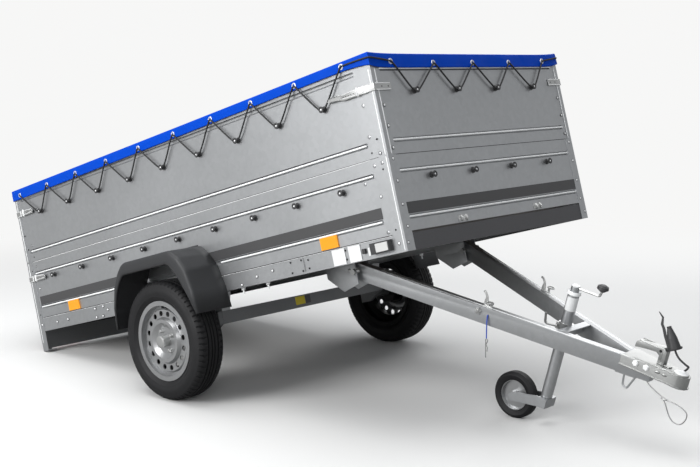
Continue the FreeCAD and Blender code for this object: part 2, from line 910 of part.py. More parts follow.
def roadRim():
    """The pressed rim: flanges, bead seats and a well, joined to a dished disc."""
    body = newBody("RoadRim")
    half = "(rimWidth / 2)"
    revolve(
        body,
        [
            ("rimRadius", f"{half}"),
            ("rimRadius", f"{half} - rimSheet"),
            ("rimBead", f"{half} - 2 * rimSheet"),
            ("rimBead", "rimWidth * 0.22"),
            ("rimWell", "rimWidth * 0.14"),
            ("rimWell", "-rimWidth * 0.1"),
            ("rimBead", "-rimWidth * 0.2"),
            ("rimBead", f"2 * rimSheet - {half}"),
            ("rimRadius", f"rimSheet - {half}"),
            ("rimRadius", f"-{half}"),
            ("rimBead - rimSheet", f"-{half}"),
            ("rimBead - rimSheet", "-rimWidth * 0.22"),
            ("rimWell - rimSheet", "-rimWidth * 0.12"),
            ("rimWell - rimSheet", "rimWidth * 0.16"),
            ("rimBead - rimSheet", "rimWidth * 0.24"),
            ("rimBead - rimSheet", f"{half}"),
        ],
    )
    front = [
        ("rimBead - rimSheet / 2", "discOffset - discRingDepth * 0.65"),
        ("ventCircle + ventBand * 1.4", "discOffset - discRingDepth * 0.65"),
        ("ventCircle + ventBand", "discOffset"),
        ("ventCircle - ventBand", "discOffset"),
        ("discRing", "discOffset + discRingDepth"),
        ("discRing - discRingDepth", "discOffset + discRingDepth"),
        ("hubRadius - rimSheet", "discOffset"),
        ("capRadius + seat", "discOffset"),
    ]
    back = [(across, f"{level} - rimSheet") for across, level in reversed(front)]
    revolve(body, front + back)
    behind = "discOffset - 2 * rimSheet"
    vent = pocket(body, "XY", behind, "rimWidth", circles=[("ventCircle", "0", "ventRadius")])
    vent.Reversed = True
    pattern = body.newObject("PartDesign::PolarPattern", "Vents")
    pattern.Originals = [vent]
    axis = [feature for feature in body.Origin.OriginFeatures if feature.Role == "Z_Axis"]
    pattern.Axis = (axis[0], [""])
    pattern.Angle = 360
    pattern.Occurrences = int(size("ventCount"))
    body.Tip = pattern
    return body


def hub():
    """The turned hub with its dust cap."""
    body = newBody("Hub")
    face = "(discOffset - rimSheet - seat)"
    revolve(
        body,
        [
            ("stubRadius + pinPlay", f"{face} - hubLength"),
            ("hubRadius - capRadius / 2", f"{face} - hubLength"),
            ("hubRadius - capRadius / 2", f"{face} - hubLength / 4"),
            ("hubRadius", f"{face} - hubLength / 4"),
            ("hubRadius", face),
            ("capRadius", face),
            ("capRadius", "discOffset + capLength"),
            ("capRadius * 0.7", "discOffset + capLength + plate"),
            ("0", "discOffset + capLength + plate"),
            ("0", "discOffset + capLength"),
            ("stubRadius + pinPlay", "discOffset + capLength"),
        ],
    )
    return body


upright = {
    side: FreeCAD.Placement(
        FreeCAD.Vector(0, 0, 0), FreeCAD.Rotation(FreeCAD.Vector(1, 0, 0), -90 * side)
    )
    for side in (-1, 1)
}
for side in (-1, 1):
    name = sideNames[side]
    frame = f"wheel_{name}"
    keep(roadTyre(), f"tyre_{name}", frame)
    keep(roadRim(), f"rim_{name}", frame)
    keep(hub(), f"hub_{name}", frame)


# The guard's curve from its flat top down to its foot: how far out, and how high.
guardShares = [(0.59, 1), (0.74, 0.85), (0.87, 0.66), (0.96, 0.32), (1, 0)]
mouthShares = [(0.52, 1), (0.68, 0.7), (1, 0)]
rearShare = 0.95


def guardOutline(inset, shares, lift="0"):
    """The guard's arch, set in from its outside by the given depth."""
    high = f"(guardTop + guardFoot - {inset})"
    half = f"(guardHalf - {inset})"
    low = f"(-guardFoot - {lift})"
    front = [(f"axleX + {half} * {u}", f"{high} * {v} - guardFoot") for u, v in shares[:-1]]
    rear = [
        (f"axleX - {half} * {u} * {rearShare}", f"{high} * {v} - guardFoot")
        for u, v in reversed(shares[:-1])
    ]
    feet = [(f"axleX + {half}", low), (f"axleX - {half} * {rearShare}", low)]
    return front + feet + rear


def mudguard(side):
    """A moulded guard: a faceted arch with a lip round its outer opening."""
    body = newBody("Mudguard")
    inner = f"({faceY} + seat)"
    start = inner if side > 0 else f"-({inner} + guardWidth)"
    pad(body, "XZ", start, "guardWidth", [guardOutline("0", guardShares)])
    wellStart = f"{inner} - gap" if side > 0 else f"-({inner} + guardWidth - guardWall)"
    well = guardOutline("guardWall", guardShares, "gap")
    pocket(body, "XZ", wellStart, "guardWidth - guardWall + gap", [well])
    mouthStart = f"{inner}" if side > 0 else f"-({inner} + guardWidth + gap)"
    mouth = guardOutline("guardLip", mouthShares, "gap")
    mouth[2] = ("axleX + guardHalf - guardLip / 2", mouth[2][1])
    mouth[3] = (f"axleX - guardHalf * {rearShare} + guardLip / 2", mouth[3][1])
    pocket(body, "XZ", mouthStart, "guardWidth + gap", [mouth])

    # A flange stands on the top, against the board.
    top = f"guardHalf * {guardShares[0][0]}"
    flange = rectangle(f"axleX - {top} * {rearShare}", "guardTop - guardWall", f"axleX + {top}",
                       "guardTop + guardFlange")
    start = inner if side > 0 else f"-({inner} + guardWall)"
    pad(body, "XZ", start, "guardWall", [flange])
    return body


for side in (-1, 1):
    keep(mudguard(side), f"mudguard_{sideNames[side]}", "bed")


# Fittings on the boards

def hookProfile(face, level):
    """A rope hook's side view: a foot on the board and an arm that turns down."""
    out = f"({face} + hookReach)"
    foot = f"({face} + hookThick)"
    return [
        (face, f"{level} - hookDrop"),
        (face, f"{level} + hookDrop"),
        (foot, f"{level} + hookDrop"),
        (foot, f"{level} + hookThick"),
        (out, f"{level} + hookThick"),
        (out, f"{level} - hookDrop"),
        (f"{out} - hookThick", f"{level} - hookDrop"),
        (f"{out} - hookThick", level),
        (foot, level),
        (foot, f"{level} - hookDrop"),
    ]


def sideHooks(side, level):
    """The row of rope hooks along one side."""
    body = newBody("SideHooks")
    outline = mirrored(hookProfile(f"({faceY} + seat)", level), side)
    one = pad(body, "YZ", "hookStart - hookWidth / 2", "hookWidth", [outline])
    repeated(body, one, "X_Axis", "hookPitch * (hookCount - 1)", "hookCount")
    return body


def endHooks(face, sign, level):
    """The row of rope hooks across one end."""
    body = newBody("EndHooks")
    outline = [(f"{face} + {sign} * ({u})", v) for u, v in hookProfile("seat", level)]
    start = "-endHookHalf - hookWidth / 2"
    one = pad(body, "XZ", start, "hookWidth", [outline])
    repeated(body, one, "Y_Axis", "endHookPitch * (endHookCount - 1)", "endHookCount")
    return body


hookRows = [sideHooks(side, level) for side in (-1, 1) for level in ("hookLow", "hookHigh")]
hookRows += [endHooks(frontX, 1, "hookLow"), endHooks(frontX, 1, "hookHigh")]
hookRows.append(endHooks(rearX, -1, "hookHigh"))
keep(gathered("rope_hooks", hookRows), "rope_hooks", "bed")


def zigzag(name, eyelets, hooks, place):
    """The shock cord of one side: down from each eyelet, under a hook and up again."""
    under = "hookHigh - cordRadius - seat"
    eyeletZ = "upperTop - eyeletDrop"
    skirt = "bedWidth / 2 + tarpPlay + tarpThick + cordRadius + seat"
    points = []
    for eyelet, hook in zip(eyelets, hooks + [None]):
        points.append(place(eyelet, skirt, eyeletZ))
        if hook:
            held = f"{faceY} + hookReach - hookThick - cordRadius"
            points.append(place(f"{hook} - cordFlat", held, under))
            points.append(place(f"{hook} + cordFlat", held, under))
    return swept(name, points, "cordRadius", "cordBend", sides=6)


sideEyelets = [f"eyeletStart + eyeletPitch * {n}" for n in range(int(size("hookCount")) + 1)]
sideHookPlaces = [f"hookStart + hookPitch * {n}" for n in range(int(size("hookCount")))]
endEyelets = [f"endEyeletPitch * {n} - endEyeletHalf" for n in range(int(size("endHookCount")) + 1)]
endHookPlaces = [f"endHookPitch * {n} - endHookHalf" for n in range(int(size("endHookCount")))]
cordRuns = [
    zigzag("SideCord", sideEyelets, sideHookPlaces,
           lambda x, out, z, side=side: (x, f"{side} * ({out})", z))
    for side in (-1, 1)
]
cordRuns.append(
    zigzag("FrontCord", endEyelets, endHookPlaces,
           lambda y, out, z: (f"{frontX} - {faceY} + {out}", y, z))
)
cordRuns.append(
    zigzag("RearCord", endEyelets, endHookPlaces,
           lambda y, out, z: (f"{rearX} + {faceY} - ({out})", y, z))
)
keep(gathered("bungee_cord", cordRuns), "bungee_cord", "bed")


def latch(side, front, level):
    """A toggle latch: its lever lies along the side, its strike wraps the corner."""
    body = newBody("Latch")
    face = "(bedWidth / 2 + seat)"
    sign = -1 if front else 1
    corner = "bedLength" if front else "0"
    low = f"({level} - latchHigh / 2)"

    def along(u):
        return f"({corner} + {sign} * ({u}))"

    # The base plate and the raised lever, seen from above.
    lever = [
        (along("seat"), f"{face}"),
        (along("latchReach - latchGrip"), face),
        (along("latchReach - latchGrip"), f"{face} + latchThick"),
        (along("latchReach"), f"{face} + latchProud - latchThick"),
        (along("latchReach"), f"{face} + latchProud"),
        (along("latchReach - latchGrip"), f"{face} + latchProud"),
        (along("latchGrip / 2"), f"{face} + latchThick * 2"),
        (along("seat"), f"{face} + latchThick"),
    ]
    lever = [(x, f"{side} * ({y})") for x, y in lever]
    pad(body, "XY", low, "latchHigh", [lever])
    taper = [
        (along("latchReach + gap"), f"{low} + latchHigh * 0.75"),
        (along("latchReach - latchGrip"), f"{low} + latchHigh"),
        (along("latchReach - latchGrip"), f"{low} + latchHigh + gap"),
        (along("latchReach + gap"), f"{low} + latchHigh + gap"),
    ]
    start = "bedWidth / 2" if side > 0 else "-bedWidth"
    pocket(body, "XZ", start, "bedWidth / 2", [taper])
    if front:
        strike = rectangle(along("-seat"), f"{side} * ({face} + latchThick - strikeReach)",
                           along("-seat - latchThick"), f"{side} * ({face} + latchThick)")
        pad(body, "XY", low, "latchHigh", [strike])
        bridge = rectangle(along("seat"), f"{side} * {face}", along("-seat - latchThick"),
                           f"{side} * ({face} + latchThick)")
        pad(body, "XY", low, "latchHigh", [bridge])
    return body


latchPlaces = [(False, "latchLower"), (False, "latchUpper"), (True, "latchUpper")]
latches = [latch(side, front, level) for side in (-1, 1) for front, level in latchPlaces]


def sidePlate(name, side, x, length, z, high, deep):
    """A block on the side's face, from x over its length."""
    outline = rectangle(x, f"{z} - {high} / 2", f"{x} + {length}", f"{z} + {high} / 2")
    face = f"({faceY} + seat)"
    start = face if side > 0 else f"-({face} + {deep})"
    block = plain(name, "XZ", start, deep, [outline])
    outer = size(f"{face} + {deep}")
    rounded(block, "plate", lambda edge: abs(edge.BoundBox.Center.y) > outer - size("sheet"))
    return block


reflectorPlaces = ("reflectorRear", "bedLength - reflectorFront")
reflectors = [
    sidePlate("Reflector", side, x, "reflectorLong", "reflectorZ", "reflectorHigh", "reflectorThick")
    for side in (-1, 1)
    for x in reflectorPlaces
]
keep(gathered("side_reflectors", reflectors), "side_reflectors", "bed")
markerX = "(bedLength - markerFront)"
bodies, lenses = [], []
for side in (-1, 1):
    body = sidePlate("Marker", side, markerX, "markerLong", "markerZ", "markerHigh", "markerDeep")
    lensX = f"({markerX} + markerLong - markerRim - markerLens)"
    seatOutline = rectangle(lensX, "markerZ - markerHigh / 2 + markerRim", f"{lensX} + markerLens",
                            "markerZ + markerHigh / 2 - markerRim")
    front = f"({faceY} + seat + markerDeep - markerRim)"
    start = front if side > 0 else f"-({front} + markerRim + gap)"
    pocket(body, "XZ", start, "markerRim + gap", [seatOutline])
    bodies.append(body)
    lens = rectangle(f"{lensX} + seat", "markerZ - markerHigh / 2 + markerRim + seat",
                     f"{lensX} + markerLens - seat", "markerZ + markerHigh / 2 - markerRim - seat")
    start = f"{front} + seat" if side > 0 else f"-({front} + markerRim + plate)"
    lenses.append(plain("MarkerLens", "XZ", start, "markerRim + plate - seat", [lens]))
keep(gathered("marker_bodies", bodies), "marker_bodies", "bed")
keep(gathered("marker_lenses", lenses), "marker_lenses", "bed")


def frontLug(centre):
    """A small double lug on the foot of the lower front board."""
    low = "(lugZ - lugHigh / 2)"
    face = f"({frontX} + seat)"
    body = newBody("FrontLug")
    foot = rectangle(face, f"{centre} - lugWide / 2", f"{face} + plate", f"{centre} + lugWide / 2")
    pad(body, "XY", low, "lugHigh", [foot])
    for side in (-1, 1):
        start = f"{centre} + {side} * lugWide / 4 - lugWide / 12"
        ear = [
            (f"{face} + plate", low),
            (f"{face} + plate + lugHigh / 3", f"{low} + lugHigh / 5"),
            (f"{face} + plate + lugHigh / 3", f"{low} + lugHigh / 2"),
            (f"{face} + plate", f"{low} + lugHigh"),
        ]
        pad(body, "XZ", start, "lugWide / 6", [ear])
    return body


latches += [frontLug("-hingeY"), frontLug("hingeY")]
keep(gathered("board_latches", latches), "board_latches", "bed")


# Tarpaulin and lamps

def tarpaulin():
    """The stretched cover: a flat top with a short skirt outside the upper boards."""
    body = newBody("Tarpaulin")
    spare = "(tarpPlay + tarpThick)"
    halfY = f"(bedWidth / 2 + {spare})"
    outer = rectangle(f"-{spare}", f"-{halfY}", f"bedLength + {spare}", halfY)
    pad(body, "XY", "upperTop - tarpSkirt + tarpThick", "tarpSkirt", [outer])
    well = rectangle(f"tarpThick - {spare}", f"tarpThick - {halfY}",
                     f"bedLength + {spare} - tarpThick", f"{halfY} - tarpThick")
    pocket(body, "XY", "upperTop - tarpSkirt", "tarpSkirt", [well])
    return body


keep(tarpaulin(), "tarpaulin", "bed")


def rearBar():
    """The dark plate between the rear posts that carries the lamps."""
    back = "rearBarSetback"
    corners = [
        (back, "-postFoot + footPad + gap"),
        (back, "-seat"),
        (f"{back} + sillFlange / 2", "-seat"),
        (f"{back} + sillFlange / 2", "-plate - seat"),
        (f"{back} + plate", "-plate - seat"),
        (f"{back} + plate", "-postFoot + footPad + gap"),
    ]
    half = "(bedWidth / 2 - plate - seat)"
    return plain("RearBar", "XZ", f"-{half}", f"2 * {half}", [corners])


def rearLamp(side):
    """A rear lamp cluster on the bar."""
    inner = "(bedWidth / 2 - rearPostWidth - gap - lampWide)"
    low = f"{side} * {inner}"
    high = f"{side} * ({inner} + lampWide)"
    start, end = (low, high) if side > 0 else (high, low)
    outline = rectangle("rearBarSetback - lampDeep", "-lampLow", "rearBarSetback",
                        "-lampLow + lampHigh")
    lamp = plain("RearLamp", "XZ", start, f"{end} - ({start})", [outline])
    rounded(lamp, "plate", lambda edge: edge.BoundBox.XMax < size("rearBarSetback - sheet"))
    return lamp


keep(rearBar(), "rear_bar", "bed")
keep(gathered("rear_lamps", [rearLamp(-1), rearLamp(1)]), "rear_lamps", "bed")


# Drawbar hinge brackets on the bed

def hingeBracket(side):
    """A folded bracket: two pointed cheeks under a web, with the pivot's holes."""
    body = newBody("HingeBracket")
    back = "pivotX - cheekRear"
    ahead = "pivotX + cheekFront"
    root = "(railHeight - memberDepth)"
    corners = [
        (back, f"{root}"),
        (back, "-cheekRear / 4"),
        ("pivotX - cheekTipBack", "-cheekTipDrop"),
        (ahead, "-cheekTipDrop * 0.8"),
        (ahead, f"{root}"),
    ]
    start = "cheekInner - cheekThick" if side > 0 else "-cheekOuter - cheekThick"
    width = "cheekOuter - cheekInner + 2 * cheekThick"
    pad(body, "XZ", start, width, [corners])
    clear = rectangle(f"{back} - gap", "-cheekTipDrop - gap", f"{ahead} + gap",
                      f"{root} - cheekThick")
    start = "cheekInner" if side > 0 else "-cheekOuter"
    pocket(body, "XZ", start, "cheekOuter - cheekInner", [clear])
    swing = rectangle("pivotX - armRear - armHeight / 5", f"{root} - cheekThick - gap",
                      f"{ahead} + gap", f"{root} + gap")
    pocket(body, "XZ", start, "cheekOuter - cheekInner", [swing])
    start = "cheekInner - cheekThick - gap" if side > 0 else "-cheekOuter - cheekThick - gap"
    hole = [("pivotX", "-pivotDrop", "pinRadius + pinPlay")]
    pocket(body, "XZ", start, f"{width} + 2 * gap", circles=hole)
    return body


def pivotPin(side):
    """The bolt through a bracket's cheeks and the drawbar's arm, with head and nut."""
    body = newBody("PivotPin")
    inner = "(cheekInner - cheekThick)"
    length = "(cheekOuter - cheekInner + 2 * cheekThick)"
    start = inner if side > 0 else f"-({inner} + {length})"
    pad(body, "XZ", start, length, circles=[("pivotX", "-pivotDrop", "pinRadius")])
    head = [("pivotX", "-pivotDrop", "pinRadius * 1.6")]
    begin = f"{inner} - pinRadius" if side > 0 else f"-({inner} + {length}) - pinRadius"
    pad(body, "XZ", begin, "pinRadius", circles=head)
    begin = f"{inner} + {length}" if side > 0 else f"-{inner}"
    pad(body, "XZ", begin, "pinRadius", circles=head)
    return body


keep(gathered("hinge_brackets", [hingeBracket(-1), hingeBracket(1)]), "hinge_brackets", "bed")
keep(gathered("pivot_pins", [pivotPin(-1), pivotPin(1)]), "pivot_pins", "bed")


# Drawbar

slope = "(drawSpread / drawApex)"
armLean = "(armWidth * sqrt(1 + (drawSpread / drawApex) ^ 2))"


def outerFace(x):
    return f"((drawApex - ({x})) * {slope})"


def innerFace(x, wall="0"):
    return f"((drawApex - ({x})) * {slope} - {armLean} + {wall})"


def drawbarArm(side):
    """One rectangular tube of the V, mitred at the front and open at the rear."""
    body = newBody("DrawbarArm")
    nose = "(drawApex - armNose)"
    meet = f"(drawApex - ({armLean} + seat) / {slope})"
    corners = [
        ("-armRear", f"{side} * {outerFace('-armRear')}"),
        (nose, f"{side} * {outerFace(nose)}"),
        (nose, f"{side} * seat"),
        (meet, f"{side} * seat"),
        ("-armRear", f"{side} * {innerFace('-armRear')}"),
    ]
    pad(body, "XY", "-armHeight / 2", "armHeight", [corners])
    back = "-armRear - gap"
    ahead = "armHollow"
    wall = f"armWall * {armLean} / armWidth"
    inside = [
        (back, f"{side} * ({outerFace(back)} - {wall})"),
        (ahead, f"{side} * ({outerFace(ahead)} - {wall})"),
        (ahead, f"{side} * {innerFace(ahead, wall)}"),
        (back, f"{side} * {innerFace(back, wall)}"),
    ]
    pocket(body, "XY", "armWall - armHeight / 2", "armHeight - 2 * armWall", [inside])
    start = "0" if side > 0 else "-bedWidth / 2"
    pocket(body, "XZ", start, "bedWidth / 2", circles=[("0", "0", "pinRadius + pinPlay")])
    return body


def crossBar():
    """The angle across the V: its web carries the jockey clamp, its shelf lies on top."""
    body = newBody("CrossBar")
    web = [("barX", -1), ("barX + barThick", -1), ("barX + barThick", 1), ("barX", 1)]
    web = [(x, f"{side} * ({innerFace('barX + barThick')} - seat)") for x, side in web]
    pad(body, "XY", "armHeight / 2 - barDepth", "barDepth", [web])
    ahead = "barX + barShelf"
    shelf = [("barX", -1), (ahead, -1), (ahead, 1), ("barX", 1)]
    shelf = [(x, f"{side} * ({innerFace(x)} - seat)") for x, side in shelf]
    pad(body, "XY", "armHeight / 2 - barThick", "barThick", [shelf])
    return body


def jockeyClamp():
    """The split collar that grips the stand's sleeve, on an arm to the cross bar."""
    body = newBody("JockeyClamp")
    outer = "(sleeveRadius + clampWall)"
    low = "armHeight / 2 - clampHeight"
    pad(body, "XY", low, "clampHeight", circles=[("standX", "0", outer)])
    cheek = rectangle("standX", f"-{outer} * 0.7", "barX - seat", f"{outer} * 0.7")
    pad(body, "XY", low, "clampHeight", [cheek])
    ears = rectangle(f"standX - {outer} - clampRod * 2", "-clampRod * 2", "standX", "clampRod * 2")
    pad(body, "XY", f"{low} + clampRod", "clampHeight - clampRod * 3", [ears])
    bore = [("standX", "0", "sleeveRadius + seat / 3")]
    pocket(body, "XY", f"{low} - gap", "clampHeight + 2 * gap", circles=bore)
    slit = rectangle(f"standX - {outer} - clampRod * 3", "-plate / 2", "standX", "plate / 2")
    pocket(body, "XY", f"{low} - gap", "clampHeight + 2 * gap", [slit])
    return body


def couplingPlan(margin):
    """The coupling's outline from above, wider by the margin."""
    rearHalf = f"({outerFace('couplingRear')} + seat + couplingWall + {margin})"
    neckX = "(ballX - noseRadius)"
    wide = f"(noseRadius + {margin})"
    near = [
        ("couplingRear", rearHalf),
        (neckX, f"{wide} * 0.98"),
        ("ballX", wide),
        (f"ballX + {wide} * 0.5", f"{wide} * 0.87"),
        (f"ballX + {wide} * 0.87", f"{wide} * 0.5"),
    ]
    far = [(x, f"-{y}") for x, y in near]
    return far + [(f"ballX + {wide}", "0")] + near[::-1]


def couplingHead():
    """The pressed coupling over the arms' front ends, with its ball socket."""
    body = newBody("CouplingHead")
    step = "(couplingRise * 0.7)"
    pad(body, "XY", "-couplingLow", f"couplingLow + couplingTop - {step}", [couplingPlan("0")])
    pad(body, "XY", f"couplingTop - {step}", step, [couplingPlan(f"-{step}")])
    slopeEnd = "(ballX - noseRadius)"
    slant = [
        ("couplingRear - gap", "couplingTop - couplingRise"),
        (slopeEnd, "couplingTop"),
        (slopeEnd, "couplingTop + gap"),
        ("couplingRear - gap", "couplingTop + gap"),
    ]
    pocket(body, "XZ", "-bedWidth / 4", "bedWidth / 2", [slant])
    pad(body, "XY", "-couplingLow", "couplingWall", [couplingPlan("couplingLip")])
    noseX = "(drawApex - armNose + seat)"
    channel = [
        ("couplingRear - gap", f"-({outerFace('couplingRear - gap')} + seat)"),
        (noseX, f"-({outerFace(noseX)} + seat)"),
        (noseX, f"{outerFace(noseX)} + seat"),
        ("couplingRear - gap", f"{outerFace('couplingRear - gap')} + seat"),
    ]
    deep = "armHeight / 2 + seat + couplingLow + gap"
    pocket(body, "XY", "-couplingLow - gap", deep, [channel])
    pocket(body, "XY", "-couplingLow - gap", "ballDepth + gap", circles=[("ballX", "0", "ballRadius")])
    dome = [
        ("0", "ballLift - plate"),
        ("ballRadius", "ballLift - plate"),
        ("ballRadius", "ballLift"),
        ("ballRadius * 0.87", "ballLift + ballRadius / 2"),
        ("ballRadius / 2", "ballLift + ballRadius * 0.87"),
        ("0", "ballLift + ballRadius"),
    ]
    hollow = revolve(body, dome, kind="Groove")
    bind(hollow.Profile[0], AttachmentOffset_Base_x="ballX")
    return body


def couplingLevel(x):
    """The height of the coupling's sloping top at the given distance."""
    slopeEnd = "(ballX - noseRadius)"
    run = f"({slopeEnd} - couplingRear + gap)"
    return f"(couplingTop - couplingRise * ({slopeEnd} - ({x})) / {run})"


def couplingHandle():
    """The coupling's pressed lever: a neck and a grip that points back, open below."""
    body = newBody("CouplingHandle")
    back = "(handleNeckX - handleLength)"
    neck = "(handleThick / 2)"
    corners = [
        (f"handleNeckX - {neck}", couplingLevel(f"handleNeckX - {neck}") + " + seat"),
        (f"handleNeckX + {neck}", couplingLevel(f"handleNeckX + {neck}") + " + seat"),
        (f"handleNeckX + {neck}", f"handleTop - {neck}"),
        ("handleNeckX", "handleTop"),
        (f"{back} + {neck} / 2", f"handleTop - {neck}"),
        (back, "handleTop - handleThick"),
        (back, "handleTop - handleThick * 1.6"),
        (f"{back} + {neck}", "handleTop - handleThick * 1.45"),
        (f"{back} + handleThick * 2", "handleTop - handleThick * 1.15"),
        ("handleNeckX - handleThick", "handleTop - handleThick"),
        (f"handleNeckX - {neck}", "handleTop - handleThick * 1.3"),
    ]
    pad(body, "XZ", "-handleWidth / 2", "handleWidth", [corners])
    channel = [
        (f"{back} + handleWall", "handleTop - handleThick * 1.8"),
        (f"{back} + handleWall", "handleTop - handleThick - handleWall"),
        (f"handleNeckX - {neck} - handleWall", f"handleTop - {neck} + handleWall"),
        (f"handleNeckX - {neck} - handleWall", "handleTop - handleThick * 1.8"),
    ]
    pocket(body, "XZ", "handleWall - handleWidth / 2", "handleWidth - 2 * handleWall", [channel])
    return body


def lockMiddle():
    return f"({innerFace('lockX')} + armWidth / 2)"


def lockBracket(side):
    """The hooked plate on top of an arm that latches to the bed for the road."""
    body = newBody("LockBracket")
    top = "(armHeight / 2 + seat)"
    back = "(lockX - lockLength / 2)"
    ahead = "(lockX + lockLength / 2)"
    corners = [
        ("lockX - lockLength / 4", top),
        (ahead, top),
        (ahead, f"{top} + lockHigh * 0.12"),
        ("lockX + lockThick", f"{top} + lockHigh * 0.12"),
        ("lockX", f"{top} + lockHigh * 0.55"),
        ("lockX - lockThick", f"{top} + lockHigh * 0.72"),
        ("lockX - lockLength / 4", f"{top} + lockHigh * 0.9"),
        (f"{back} + lockThick", f"{top} + lockHigh"),
        (back, f"{top} + lockHigh * 0.96"),
        (back, f"{top} + lockHigh * 0.86"),
        (f"{back} + lockThick * 2", f"{top} + lockHigh * 0.8"),
        ("lockX - lockThick * 2", f"{top} + lockHigh * 0.58"),
        ("lockX - lockLength / 4", f"{top} + lockHigh * 0.3"),
    ]
    start = f"{lockMiddle()}" if side > 0 else f"-{lockMiddle()} - lockThick"
    pad(body, "XZ", start, "lockThick", [corners])
    return body


def lockPinOf(side):
    """The pull pin on a lock bracket, with a ring that lies over the arm."""
    body = newBody("LockPin")
    x = "lockX + lockLength * 0.4"
    foot = "(armHeight / 2 + 2 * seat + lockHigh * 0.12)"
    high = "lockHigh * 0.3"
    y = f"{side} * ({lockMiddle()} + lockThick / 2)"
    pad(body, "XY", foot, high, circles=[(x, y, "lockPin")])
    ringY = f"{y} + {side} * (lockRing - lockWire)"
    ring = [(x, ringY, "lockRing"), (x, ringY, "lockRing - 2 * lockWire")]
    pad(body, "XY", f"{foot} + {high} - 2 * lockWire", "2 * lockWire", circles=ring)
    return body


def cableHoop():
    """The bent rod under the V that keeps the cables, on its small plate."""
    low = "(-armHeight / 2 - seat - hoopWire)"
    points = [
        ("hoopX", "0", f"{low} + hoopWire / 2"),
        ("hoopX + hoopWide / 8", "0", f"{low} - hoopDeep"),
        ("hoopX + hoopWide / 2", "0", f"{low} - hoopDeep - hoopWire * 2"),
        ("hoopX + hoopWide", "0", f"{low} + hoopWire / 2"),
    ]
    hoop = swept("CableHoop", points, "hoopWire", "hoopWire * 3")
    rear = "(hoopX - hoopWire * 3)"
    ahead = "(hoopX + hoopWide + hoopWire * 3)"
    corners = [
        (rear, f"-{outerFace(rear)}"),
        (ahead, f"-{outerFace(ahead)}"),
        (ahead, outerFace(ahead)),
        (rear, outerFace(rear)),
    ]
    plate = plain("HoopPlate", "XY", low, "hoopWire", [corners])
    return joined("HoopOnPlate", [hoop, plate])


def clampHandle():
    """The bent tommy bar that tightens the jockey clamp."""
    y = "-clampRod * 2 - clampRod - seat"
    points = [
        ("standX - clampRod * 6", y, "clampRod * 2"),
        ("standX - clampRodBack", "-clampRod * 7", "clampRod * 1.5"),
        ("standX - clampRodBack - clampRod", "-clampRod * 8", "clampRod * 2 + clampRodRise"),
    ]
    return swept("ClampHandle", points, "clampRod", "clampRod * 2.4")


for side in (-1, 1):
    keep(drawbarArm(side), f"drawbar_arm_{sideNames[side]}", "drawbar")
keep(crossBar(), "cross_bar", "drawbar")
keep(gathered("jockey_clamp", [jockeyClamp(), clampHandle()]), "jockey_clamp", "drawbar")
keep(couplingHead(), "coupling_head", "drawbar")
keep(couplingHandle(), "coupling_handle", "drawbar")
locks = [lockBracket(-1), lockBracket(1), lockPinOf(-1), lockPinOf(1)]
keep(gathered("lock_brackets", locks), "lock_brackets", "drawbar")
keep(cableHoop(), "cable_hoop", "drawbar")


# Jockey wheel stand

def jockeySleeve():
    """The clamped outer tube of the stand with its collar and gear head."""
    body = newBody("JockeySleeve")
    ring = [("standX", "0", "sleeveRadius"), ("standX", "0", "sleeveRadius - sleeveWall")]
    pad(body, "XY", "-sleeveDrop", "sleeveDrop + sleeveTop", circles=ring)
    pad(body, "XY", "sleeveTop", "headCollar", circles=[("standX", "0", "headRadius")])
    neck = [("standX", "0", "headNeck")]
    pad(body, "XY", "sleeveTop + headCollar", "headHeight - headCollar", circles=neck)
    return body


def jockeyCrank():
    """The bent crank that leaves the head's side and turns up to its knob."""
    level = "sleeveTop + crankLevel"
    points = [
        ("standX + headNeck + seat", "0", level),
        ("standX + crankReach", "0", f"{level} + crankRadius"),
        ("standX + crankReach + crankRadius", "0", f"{level} + crankRise"),
    ]
    return swept("JockeyCrank", points, "crankRadius", "crankRadius * 2")


def crankKnob():
    """The turned knob on the crank's end."""
    body = newBody("CrankKnob")
    low = "sleeveTop + crankLevel + crankRise + crankRadius * 0.3"
    knob = revolve(
        body,
        [
            ("0", low),
            ("crankRadius * 2", low),
            ("knobRadius", f"{low} + knobHeight * 0.4"),
            ("knobRadius * 0.92", f"{low} + knobHeight * 0.8"),
            ("knobRadius / 2", f"{low} + knobHeight"),
            ("0", f"{low} + knobHeight"),
        ],
    )
    bind(knob.Profile[0], AttachmentOffset_Base_x="standX + crankReach + crankRadius")
    return body


legRadius = "(sleeveRadius - sleeveWall - legPlay)"


def jockeyLeg():
    """The inner tube that the crank drives out of the sleeve."""
    body = newBody("JockeyLeg")
    ring = [("standX", "0", legRadius), ("standX", "0", f"{legRadius} - legWall")]
    pad(body, "XY", "-sleeveDrop - plate", "legLength", circles=ring)
    return body


def jockeyFork():
    """The trailing fork: a swivel seat and two cheeks down to the wheel's axle."""
    body = newBody("JockeyFork")
    seat = "-sleeveDrop - plate - seat"
    outer = "(forkHalf + forkPlate)"
    hubZ = "-jockeyDrop"
    half = "forkDeep / 2"
    corners = [
        ("standX + sleeveRadius", seat),
        ("standX - sleeveRadius", seat),
        ("standX - forkTrail", f"{hubZ} + {half}"),
        (f"standX - forkTrail - {half}", hubZ),
        ("standX - forkTrail", f"{hubZ} - {half}"),
        ("standX - sleeveRadius / 2", f"{seat} - forkDeep - forkPlate"),
        ("standX + sleeveRadius", f"{seat} - forkDeep"),
    ]
    pad(body, "XZ", f"-{outer}", f"2 * {outer}", [corners])
    clear = rectangle("standX - forkTrail - forkDeep", f"{hubZ} - forkDeep * 2",
                      "standX - sleeveRadius * 0.6", f"{seat} + gap")
    pocket(body, "XZ", "-forkHalf", "2 * forkHalf", [clear])
    return body


